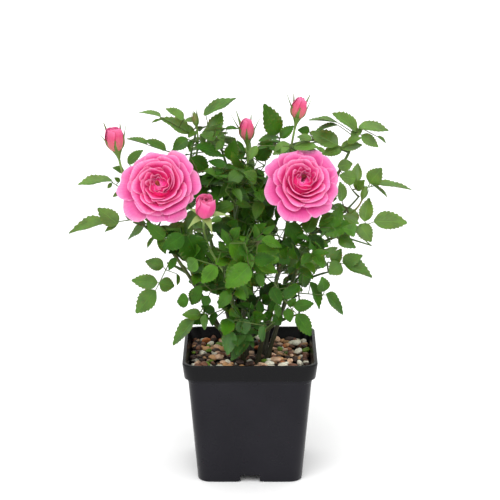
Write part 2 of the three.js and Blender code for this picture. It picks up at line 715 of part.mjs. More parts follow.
// A leaf from its foot to its tip: the stalk, the terminal leaflet, and the pairs beside the stalk.
function leafFrom(foot, tip, mass, roll) {
  const span = foot.distanceTo(tip);
  const along = tip.clone().sub(foot).normalize();
  const sideways = 0.35 * along.x + roll(-0.35, 0.35);
  const outwards = (mass.heart[1] < 30 ? -0.75 : 0.75) + roll(-0.35, 0.35);
  const towards = vector([sideways, outwards, 0.62 + roll(-0.25, 0.25)]);
  const end = moved(moved(foot, along, STALK_SHARE * span), UP, 0.06 * span);
  const forward = end.clone().sub(foot).normalize();
  const normal = moved(towards, forward, -towards.dot(forward)).normalize();
  const stalkLength = foot.distanceTo(end);
  const pairs = span > TWO_PAIR_SPAN ? [SECOND_PAIR, FIRST_PAIR] : [FIRST_PAIR];
  const beside = ({ at, length, turn }, sign) => {
    const angle = degToRad(turn + roll(-8, 8)) * sign;
    const direction = forward.clone().applyAxisAngle(normal, angle);
    direction.z -= roll(0, 0.2);
    const from = moved(foot, forward, at * stalkLength);
    return leaflet(from, direction.normalize(), normal, length * span * roll(0.9, 1.08));
  };
  return {
    foot, forward, normal, stalkLength,
    terminal: leaflet(end, tip.clone().sub(end).normalize(), normal, tip.distanceTo(end)),
    pairs: pairs.map((pair) => {
      const [left, right] = [beside(pair, 1), beside(pair, -1)];
      return { at: pair.at * stalkLength, left, right };
    }),
  };
}

// True if a ball lies clear of the leaflet's blade.
function ballClear({ from, direction, face, side, length }, { point, radius }) {
  const reach = radius + LIMB_CLEARANCE;
  const offset = point.clone().sub(from);
  if (Math.abs(offset.dot(face)) > reach + LEAFLET_FOLD * length) return true;
  const along = offset.dot(direction);
  if (along < -reach || along > length + reach) return true;
  const share = along / length;
  const taper = share < LEAFLET_WIDEST ? share / LEAFLET_WIDEST : (1 - share) / (1 - LEAFLET_WIDEST);
  return Math.abs(offset.dot(side)) > (LEAFLET_WIDTH * length * Math.max(0, taper)) / 2 + reach;
}

function leafletFits(blade, mass, balls, middles) {
  const corners = [blade.from, blade.tip, blade.left, blade.right];
  return (
    corners.every((corner) => inSpace(corner, mass) && abovePot(corner)) &&
    abovePot(blade.widest) &&
    middles.every((middle) => middle.distanceTo(blade.widest) > LEAFLET_ROOM) &&
    balls.every((ball) => ballClear(blade, ball))
  );
}

// True if a straight twig or stalk keeps to the mass's space and off the limbs.
function twigFits(foot, way, length, mass, balls) {
  const reach = TWIG_TIP_RADIUS + LIMB_CLEARANCE;
  for (let distance = 2; distance <= length; distance += 1.5) {
    const point = moved(foot, way, distance);
    if (!inSpace(point, mass, SPACE_MARGIN + TWIG_TIP_RADIUS) || !abovePot(point)) return false;
    if (balls.some((ball) => ball.point.distanceTo(point) < ball.radius + reach)) return false;
  }
  return true;
}

// All the twigs and leaves of one mass: side twigs, the leaves that reach its tips, then those that fill it.
function growMass(mass, index, allBalls) {
  const roll = dice(1009 * (index + 7));
  const stem = limbs.get(mass.name).curve;
  const balls = allBalls.filter(({ name }) => name !== mass.name);
  const shares = Array.from({ length: 40 }, (_, i) => i / 40);
  const inside = shares.find((share) => inSpace(stem.getPoint(share), mass)) ?? 1;
  const start = Math.max(0.25, inside + 0.02);
  const twigs = [];
  const leaves = [];
  const middles = [];

  const heart = vector(mass.heart);

  const keep = (leaf, least) => {
    if (!twigFits(leaf.foot, leaf.forward, leaf.stalkLength, mass, balls)) return false;
    const taken = [...middles];
    if (!leafletFits(leaf.terminal, mass, balls, taken)) return false;
    taken.push(leaf.terminal.widest);
    for (const pair of leaf.pairs)
      for (const hand of ["left", "right"]) {
        if (leafletFits(pair[hand], mass, balls, taken)) taken.push(pair[hand].widest);
        else pair[hand] = null;
      }
    if (taken.length < middles.length + least) return false;
    middles.push(...taken.slice(middles.length));
    leaves.push(leaf);
    return true;
  };

  const anyWay = (turn) => {
    const around = turn * GOLDEN_ANGLE + roll(-0.4, 0.4);
    const rise = roll(-0.35, 0.8);
    return vector([Math.cos(around) * Math.cos(rise), Math.sin(around) * Math.cos(rise), Math.sin(rise)]);
  };

  for (let i = 0; i < mass.twigs; i++) {
    const foot = stem.getPoint(lerp(start, 1, (i + 0.5) / mass.twigs));
    let found = null;
    for (let turn = 0; turn < TRIES && !found; turn++) {
      const way = anyWay(i + turn);
      const length = TWIG_SPANS.find((span) => twigFits(foot, way, span, mass, balls));
      if (length) found = { foot, tip: moved(foot, way, length) };
    }
    if (found) twigs.push(found);
  }

  const feet = [0, 0.2, 0.4, 0.6, 0.8, 1].map((share) => stem.getPoint(lerp(start, 0.98, share)));
  feet.push(...twigs.flatMap(({ foot, tip }) => [foot.clone().lerp(tip, 0.5), foot.clone().lerp(tip, 0.96)]));
  for (const numbers of mass.tips) {
    const tip = vector(numbers);
    const misfit = (foot) => Math.abs(foot.distanceTo(tip) - REACH_SPAN);
    const order = [...feet].sort((a, b) => misfit(a) - misfit(b));
    order.some((foot) => keep(leafFrom(foot, tip, mass, roll), LEAST_LEAFLETS.reaching));
  }
  const fillFrom = (foot, way) =>
    FILL_SPANS.some((span) => {
      const leaf = leafFrom(foot, moved(foot, way, span), mass, roll);
      return leaf.terminal.tip.distanceTo(heart) < FILL_REACH && keep(leaf, LEAST_LEAFLETS.filling);
    });
  for (const { foot, tip } of twigs) {
    const end = foot.clone().lerp(tip, 0.96);
    fillFrom(end, tip.clone().sub(foot).normalize());
  }
  for (let i = 0; i < mass.fill; i++) {
    const foot = feet[(i * 3 + 1) % feet.length];
    for (let turn = 0; turn < TRIES; turn++) if (fillFrom(foot, anyWay(2 * i + turn))) break;
  }
  return { twigs, leaves };
}

// One leaf as a single skin: three-cornered sections along the stalk, the terminal leaflet on the last one,
// and each leaflet of a pair on the side between two sections. A leaflet has eight faces.
function leafSolid({ foot, forward, normal, stalkLength, terminal, pairs }) {
  const across = forward.clone().cross(normal);
  const points = [];
  const faces = [];
  const section = (distance) => {
    const centre = moved(foot, forward, distance);
    const high = moved(centre, normal, 0.5 * LEAF_STALK_RADIUS);
    const half = 0.87 * LEAF_STALK_RADIUS;
    points.push(moved(high, across, -half), moved(high, across, half));
    points.push(moved(centre, normal, -LEAF_STALK_RADIUS));
    const [left, right, under] = [points.length - 3, points.length - 2, points.length - 1];
    return { left, right, under };
  };
  const blade = (back, front, tip) => points.push(back, front, tip) - 3;
  const rightSide = (a, b, limb) => {
    if (!limb) return [[a.right, a.under, b.under], [a.right, b.under, b.right]];
    const back = blade(limb.right, limb.left, limb.tip);
    const [front, tip] = [back + 1, back + 2];
    return [
      [a.right, a.under, back], [a.under, b.under, tip], [b.under, b.right, front], [b.right, a.right, tip],
      [a.under, tip, back], [b.under, front, tip], [a.right, back, tip], [b.right, tip, front],
    ];
  };
  const leftSide = (a, b, limb) => {
    if (!limb) return [[a.under, a.left, b.left], [a.under, b.left, b.under]];
    const mirrored = ({ left, under }) => ({ right: left, under });
    const turned = { right: limb.left, left: limb.right, tip: limb.tip };
    return rightSide(mirrored(a), mirrored(b), turned).map(([p, q, r]) => [r, q, p]);
  };
  const span = (a, b, left = null, right = null) => {
    faces.push([a.left, a.right, b.right], [a.left, b.right, b.left]);
    faces.push(...rightSide(a, b, right), ...leftSide(a, b, left));
  };
  let last = section(0);
  faces.push([last.left, last.under, last.right]);
  for (const { at, left, right } of pairs.filter((pair) => pair.left || pair.right)) {
    const [before, after] = [section(at - 1.2), section(at + 1.2)];
    span(last, before);
    span(before, after, left, right);
    last = after;
  }
  const end = section(stalkLength);
  span(last, end);
  const leftEdge = blade(terminal.left, terminal.right, terminal.tip);
  const [rightEdge, tip] = [leftEdge + 1, leftEdge + 2];
  faces.push([end.left, end.right, tip], [end.right, rightEdge, tip], [end.left, tip, leftEdge]);
  faces.push([end.under, tip, rightEdge], [end.under, leftEdge, tip]);
  faces.push([end.right, end.under, rightEdge], [end.under, end.left, leftEdge]);
  return solid(points, faces);
}

function foliageSolid(mass, { twigs, leaves }) {
  const limb = limbs.get(mass.name);
  const twigSolid = ({ foot, tip }) => tube(new THREE.LineCurve3(foot, tip), () => TWIG_TIP_RADIUS, 3, 1);
  return clearOf(fused([limbTube(limb), ...twigs.map(twigSolid), ...leaves.map(leafSolid)]), limb);
}

// The whole plant

function build() {
  const group = new THREE.Group();
  const add = (name, manifold, look) => group.add(meshOf(name, manifold, look));
  CANES.forEach(addCane);
  for (const bough of BOUGHS)
    addFork(bough.name, bough, vector(bough.tip), BOUGH_TIP_RADIUS, { sides: 6, steps: 5 });
  [...BLOOMS, ...BUDS].forEach(addFlowerStem);
  GREEN_BUDS.forEach(addGreenBudStem);
  for (const mass of MASSES)
    addFork(mass.name, mass, vector(mass.top), TWIG_TIP_RADIUS, { sides: 4, steps: 3 });
  add("pot", pot(), "pot");
  add("gravel_bed", gravelBed(), "gravel");
  [...CANES, ...BOUGHS].forEach(({ name }) => add(name, limbSolid(name), "cane"));
  [...BLOOMS, ...BUDS].forEach(({ stem }) => add(stem, limbSolid(stem), "cane"));
  BLOOMS.forEach((bloom) => add(bloom.name, bloomSolid(bloom), "petal"));
  BUDS.forEach((bud) => add(bud.name, budSolid(bud), "petal"));
  GREEN_BUDS.forEach((bud) => add(bud.name, greenBudSolid(bud), "green_bud"));
  const balls = [...limbs.values()].flatMap(ballsAlong).concat(ballsOfFlowers());
  MASSES.forEach((mass, index) => {
    add(mass.name, foliageSolid(mass, growMass(mass, index, balls)), "foliage");
  });
  return group;
}

export default build();
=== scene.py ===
"""A miniature patio rose in a square nursery pot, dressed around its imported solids.

Sizes are in millimetres until a mesh is made. The front of the plant faces -Y.
"""

import itertools
import math
from collections import namedtuple

import bmesh
import bpy
import mathutils
import numpy as np
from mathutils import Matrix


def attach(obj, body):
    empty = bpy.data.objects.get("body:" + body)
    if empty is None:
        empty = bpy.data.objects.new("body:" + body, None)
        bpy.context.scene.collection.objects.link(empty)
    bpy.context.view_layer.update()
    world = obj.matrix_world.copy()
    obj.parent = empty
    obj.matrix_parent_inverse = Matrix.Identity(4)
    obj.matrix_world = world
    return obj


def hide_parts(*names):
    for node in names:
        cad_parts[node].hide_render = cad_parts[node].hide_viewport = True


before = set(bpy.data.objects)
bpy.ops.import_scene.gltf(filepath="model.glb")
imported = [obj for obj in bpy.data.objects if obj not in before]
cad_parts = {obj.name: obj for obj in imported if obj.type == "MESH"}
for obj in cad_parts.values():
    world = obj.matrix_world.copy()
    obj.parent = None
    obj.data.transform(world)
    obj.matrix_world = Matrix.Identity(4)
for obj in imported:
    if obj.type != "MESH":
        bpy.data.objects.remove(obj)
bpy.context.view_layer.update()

MM = 0.001
TINY = 1e-9
# The limit of a random angle
FULL_TURN = 6.28
# Seeds of the random draws. Those of a growth are multiplied by its place in the order, and those of the
# buds go up by a step.
SEEDS = {"growth": 1009, "finer": 3001, "sprays": 6121, "gravel": 8117, "foliage": 51413, "limbs": 2203,
         "buds": (131, 37), "green_buds": (871, 53)}

# The pot and the gravel, as the part has them
POT_HEIGHT = 104
RIM_HALF = 55
RIM_BAND = 14
BODY_TOP_HALF = 50.5
FOOT_HALF = 42.8
WALL = 1.8
FLOOR = 9
LIP = 3
CORNER_RADIUS = 11
BAND_FOOT = POT_HEIGHT - RIM_BAND
BAND_DRAFT = 1.6
RIDGE = 0.35
RIDGE_FOOT = BAND_FOOT - 3.2
DRAIN = {"width": 16, "height": 6.5, "depth": 24, "arch_width": 24, "arch_height": 2, "arch_depth": 5}
GRAVEL_TOP = 93

# Where the front is seen from
CAMERA_PLACE = (0, -1736.3, 660.9)
CAMERA_TARGET = (0, 0, 186.2)
CAMERA_LENS = 158.3

# Sizes that hold for the whole plant, as the part has them
GAP = 0.3
CANE_FOOT_RADIUS = 1.9
CANE_TIP_RADIUS = 1.15
ROOT_FLARE = {"swell": 1.5, "share": 0.07}
BOUGH_TIP_RADIUS = 0.95
FLOWER_STEM_TIP_RADIUS = 0.9
TWIG_TIP_RADIUS = 0.7
LEAF_STALK_RADIUS = 0.55
LEAFLET_WIDTH = 0.62
LEAFLET_WIDEST = 0.42
LEAFLET_FOLD = 0.06
GOLDEN_ANGLE = math.radians(137.5)

# How limbs bend: where a cane's control point lies along it and up it, and where a forking limb's lies, with
# how far it follows its parent. A fork's root is at least a share of its parent's radius.
CANE_BEND = {"along": 0.4, "up": 0.55}
FORK_BEND = {"along": 0.45, "follow": 0.14}
FORK_SHARE = 0.9
LENGTH_STEPS = 200
TANGENT_STEP = 0.0001

# The balls that stand for limbs and flowers: how far apart along a limb, at what share of a bloom's width
# or a bud's length, how far along the axis, and their radius, or the room past the bud's
BALL_SPACING = 1.5
BLOOM_CORE = {"along": 6, "radius": 12}
BLOOM_RINGS = {"shares": (0.22, 0.38), "count": 16, "along": 12, "radius": 8.5}
BUD_BALLS = {"shares": (-0.2, 0.2, 0.6, 1), "room": 2}

# The rule of the leaves, as the part has it. A leaf faces up and outwards, which is to the back where its
# mass's heart lies past BACK_DEPTH and else to the front, and all of that varies. A pair varies in its turn,
# in degrees, and in droop and length.
FACING = {"sideways": 0.35, "outwards": 0.75, "up": 0.62, "varies": 0.35, "up_varies": 0.25}
BACK_DEPTH = 30
STALK_RISE = 0.06
PAIR_VARIES = {"turn": 8, "droop": 0.2, "length": (0.9, 1.08)}
STALK_SHARE = 0.56
FIRST_PAIR = {"at": 0.64, "length": 0.37, "turn": 56}
SECOND_PAIR = {"at": 0.27, "length": 0.3, "turn": 62}
TWO_PAIR_SPAN = 43
LEAST_REACHING = 2
LEAST_FILLING = 3
FILL_SPANS = (56, 50, 44, 38)
REACH_SPAN = 50
TWIG_SPANS = (26, 20, 15)
TRIES = 7
FILL_REACH = 40
SPACE_MARGIN = 0.5
LIMB_CLEARANCE = 0.9
LEAFLET_ROOM = 8
NEAR_REACH = 110
# Where a twig is checked, the way it or a leaf may go, where a mass's stem starts to carry it, and at what
# shares of the stem and the twig leaves grow
TWIG_CHECK = {"first": 2, "step": 1.5}
ANY_WAY = {"turn": 0.4, "rise": (-0.35, 0.8)}
STEM_STEPS = 40
STEM_START = {"least": 0.25, "inside": 0.02}
STEM_SHARES = (0, 0.2, 0.4, 0.6, 0.8, 1)
STEM_END = 0.98
TWIG_MIDDLE = 0.5
TWIG_END = 0.96

# The finer growth that fills the same spaces: shorter leaves on finer twigs, closer together
FINE_SPANS = (44, 38, 33, 28)
FINE_TWIG_SPANS = (18, 14, 10)
FINE_ROOM = 5.5
FINE_TRIES = 6
FINE_TWIG_RADIUS = 0.5
FINE_TWIG_FEET = (0.6, 0.98)
HOST_STEPS = 20
HOST_HEIGHT = POT_HEIGHT + 8
HOST_ROOM = 6

# How far a leaflet may turn about its length, in radians: one that the rule lays, and one of a spray
BLADE_SWAY = 0.6
SPRAY_SWAY = 0.12

# Canes: the foot on the gravel and the tip
CANES = {
    "cane_left": ((-12, -7), (-83, -27, 219)),
    "cane_right": ((14, -5), (80, 0, 268)),
    "cane_front_right": ((6, -14), (38, -24, 222)),
    "cane_front": ((-5, -15), (-22, -48, 188)),
    "cane_centre": ((-3, 3), (-14, 4, 238)),
    "cane_back_left": ((-12, 10), (-50, 38, 246)),
    "cane_back_right": ((12, 10), (42, 48, 244)),
    "cane_back": ((1, 17), (2, 78, 206)),
}

# Boughs: the cane each forks from, how far up it, and the tip
BOUGHS = {
    "bough_upper_left": ("cane_back_left", 0.72, (-56, 12, 256)),
    "bough_top_centre": ("cane_back_right", 0.72, (28, 2, 262)),
    "bough_right": ("cane_right", 0.56, (76, -12, 221)),
}

# Open blooms: the middle of the flower's face, the way it faces, and what its stem grows on and where
BLOOM_WIDTH = 63
BLOOM_DEPTH = 17
BLOOM_PEDICEL = 8
BLOOMS = {
    "bloom_left": {"centre": (-72, -50, 252), "faces": (-0.12, -0.93, 0.34), "on": "cane_left", "fork": 1},
    "bloom_right": {"centre": (41, -50, 254), "faces": (0.1, -0.88, 0.46),
                    "on": "cane_front_right", "fork": 1},
}

# Buds: the foot of the hip, the tip of the petals, the width, and how far the sepals lean out in degrees
BUD_PEDICEL = 6
BUDS = {
    "bud_left": {"base": (-105, -28, 273), "top": (-109, -30, 295), "width": 14, "lean": 24,
                 "on": "cane_left", "fork": 0.85},
    "bud_centre": {"base": (-2, 2, 275), "top": (-3, 3, 296), "width": 11.5, "lean": 22,
                   "on": "cane_centre", "fork": 0.88},
    "bud_top": {"base": (37, -12, 296), "top": (41, -11, 316), "width": 12, "lean": 22,
                "on": "bough_top_centre", "fork": 0.7},
    "bud_front": {"base": (-36, -62, 229), "top": (-34, -76, 251), "width": 16, "lean": 118,
                  "on": "cane_front", "fork": 0.9},
}
GREEN_BUDS = {
    "green_bud_left": {"base": (-43, -2, 290), "top": (-45, -2, 302), "width": 5,
                       "on": "bough_upper_left", "fork": 0.7},
    "green_bud_right": {"base": (90, -26, 236), "top": (93, -28, 247), "width": 5.5,
                        "on": "bough_right", "fork": 0.75},
}

# Masses of foliage: the limb each stem grows on and where, the stem's top, the heart of the mass's space, the
# leaf tips that make the outline, how many leaves fill the space, and how many finer leaves follow them
Mass = namedtuple("Mass", "on fork top heart tips fill finer")
MASSES = {name: Mass(*numbers) for name, numbers in {
    "foliage_far_left": ("cane_left", 0.8, (-108, -15, 228), (-116, -12, 228), (
        (-147, -20, 206), (-139, -10, 245), (-101, -42, 205), (-115, 16, 226), (-112, 0, 256)), 2, 1),
    "foliage_upper_left": ("bough_upper_left", 1, (-68, 6, 284), (-76, 4, 284), (
        (-91, 10, 302), (-101, -10, 281), (-70, -24, 292), (-104, 2, 266)), 3, 3),
    "foliage_top_left": ("cane_centre", 1, (-30, 8, 288), (-26, 2, 292), (
        (-11, 10, 312), (-24, -15, 306), (-46, 8, 311), (-50, -12, 296)), 3, 5),
    "foliage_centre": ("cane_centre", 0.8, (-4, -16, 246), (-14, -22, 244), (
        (-14, -34, 276), (12, -34, 268), (-36, -34, 262)), 5, 28),
    "foliage_top_centre": ("bough_top_centre", 1, (24, 0, 286), (20, 2, 288), (
        (8, -10, 309), (32, 14, 306), (56, 8, 296), (-2, 14, 300)), 3, 4),
    "foliage_top_right": ("cane_right", 1, (82, 0, 288), (80, 0, 284), (
        (60, 10, 299), (76, 18, 301), (112, 0, 286), (104, -15, 274), (58, -14, 280)), 2, 3),
    "foliage_right": ("bough_right", 1, (92, -6, 238), (102, -2, 244), (
        (131, -5, 238), (96, -20, 262), (118, 20, 252)), 3, 2),
    "foliage_right_middle": ("cane_right", 0.5, (82, -24, 206), (90, -26, 206), (
        (127, -20, 216), (98, -34, 190), (110, 8, 204)), 3, 3),
    "foliage_right_low": ("cane_right", 0.32, (64, -16, 172), (72, -14, 170), (
        (92, 10, 186), (100, -25, 168), (82, -30, 154)), 3, 3),
    "foliage_foot_right": ("cane_front_right", 0.2, (40, -22, 138), (44, -26, 136), (
        (77, -25, 140), (49, -45, 124), (60, -2, 130)), 4, 2),
    "foliage_left_low": ("cane_left", 0.6, (-74, -22, 184), (-78, -20, 176), (
        (-92, -25, 140), (-96, 4, 184), (-104, -24, 176)), 3, 2),
    "foliage_foot_left": ("cane_left", 0.2, (-38, -24, 138), (-42, -28, 136), (
        (-62, -42, 112), (-36, -42, 116), (-62, -4, 132)), 4, 2),
    "foliage_front": ("cane_front", 1, (-8, -60, 204), (-6, -56, 198), (
        (-19, -78, 184), (23, -74, 205), (-8, -80, 226)), 6, 20),
    "foliage_foot_front": ("cane_front", 0.25, (-2, -36, 138), (0, -40, 140), (
        (-16, -56, 110), (14, -46, 114), (12, -64, 150)), 6, 14),
    "foliage_left_front": ("cane_left", 0.46, (-52, -42, 198), (-52, -44, 194), (
        (-38, -72, 190), (-80, -58, 206), (-58, -70, 172)), 5, 12),
    "foliage_right_front": ("cane_front_right", 0.62, (44, -48, 200), (44, -46, 194), (
        (72, -64, 190), (52, -74, 170), (24, -70, 176), (60, -30, 176)), 5, 12),
    "foliage_middle": ("cane_centre", 0.45, (8, 16, 196), (4, 10, 194), (
        (36, 8, 206), (-36, 6, 204)), 5, 30),
    "foliage_back_left": ("cane_back_left", 0.62, (-68, 54, 230), (-74, 56, 228), (
        (-112, 58, 236), (-90, 84, 258), (-74, 98, 210)), 2, 20),
    "foliage_back_right": ("cane_back_right", 0.62, (66, 60, 228), (70, 58, 226), (
        (112, 56, 238), (88, 88, 256), (72, 98, 206)), 2, 20),
    "foliage_back_top_left": ("cane_back_left", 1, (-44, 48, 276), (-42, 52, 280), (
        (-66, 66, 300), (-24, 58, 308), (-50, 92, 278)), 2, 16),
    "foliage_back_top_right": ("cane_back_right", 1, (44, 50, 274), (42, 52, 278), (
        (64, 60, 302), (18, 64, 304), (60, 92, 274)), 2, 16),
    "foliage_back": ("cane_back", 1, (2, 92, 226), (0, 90, 228), (
        (0, 124, 248), (-34, 116, 214), (34, 116, 218), (4, 100, 272)), 2, 24),
    "foliage_back_low_left": ("cane_back_left", 0.22, (-36, 46, 156), (-40, 52, 160), (
        (-80, 60, 160), (-44, 88, 142), (-64, 40, 130)), 2, 12),
    "foliage_back_low_right": ("cane_back_right", 0.22, (36, 48, 152), (40, 52, 158), (
        (80, 60, 164), (46, 88, 140), (64, 36, 130)), 2, 12),
}.items()}

# Short leafy shoots straight from the canes, low down among them: the heart of their space and how many
SHOOTS = {
    "low_centre": ((0, 6, 132), 22),
    "low_back": ((0, 44, 148), 14),
    "low_left": ((-26, 8, 138), 10),
    "low_right": ((26, 8, 138), 10),
    "inner_left": ((-34, -14, 172), 10),
    "inner_right": ((34, -14, 176), 10),
}

# The close-grown crown as the front shows it: its outline on the upright plane through the pot's middle,
# across and up. Outside of it the front shows sky, and the sprays against it.
CROWN = (
    (-48, 278), (-48, 288), (-36, 293), (-19, 295), (-15, 282), (-8, 274), (2, 274), (10, 280), (40, 280),
    (69, 278), (77, 270), (77, 257), (71, 245), (77, 228), (88, 216), (83, 199), (70, 192), (68, 176),
    (56, 167), (48, 148), (35, 139), (31, 116), (5, 116), (5, 86), (-26, 86), (-26, 116), (-48, 116),
    (-50, 128), (-41, 144), (-49, 156), (-48, 171), (-64, 179), (-67, 190), (-82, 201), (-94, 216),
    (-102, 228), (-103, 253), (-95, 266), (-81, 272), (-61, 274),
)

# Gaps through the crown, where the front shows sky: the middle on the same plane, and the radius
OPENINGS = (
    (9.5, 257.5, 2.5), (14, 260.5, 3.5), (18.5, 263, 2.5), (12.5, 144, 1.5), (-33, 262, 1.5),
    (25.5, 204, 0.7), (-33, 146.5, 1), (6, 150, 0.5), (21.5, 125, 1), (17, 138, 0.7), (-24.5, 226.5, 0.5),
    (29.5, 278.5, 0.7), (-20, 269, 0.7), (-51, 182, 0.7), (-29.5, 193.5, 0.5), (26.5, 163, 0.5),
    (49, 218, 0.5),
)

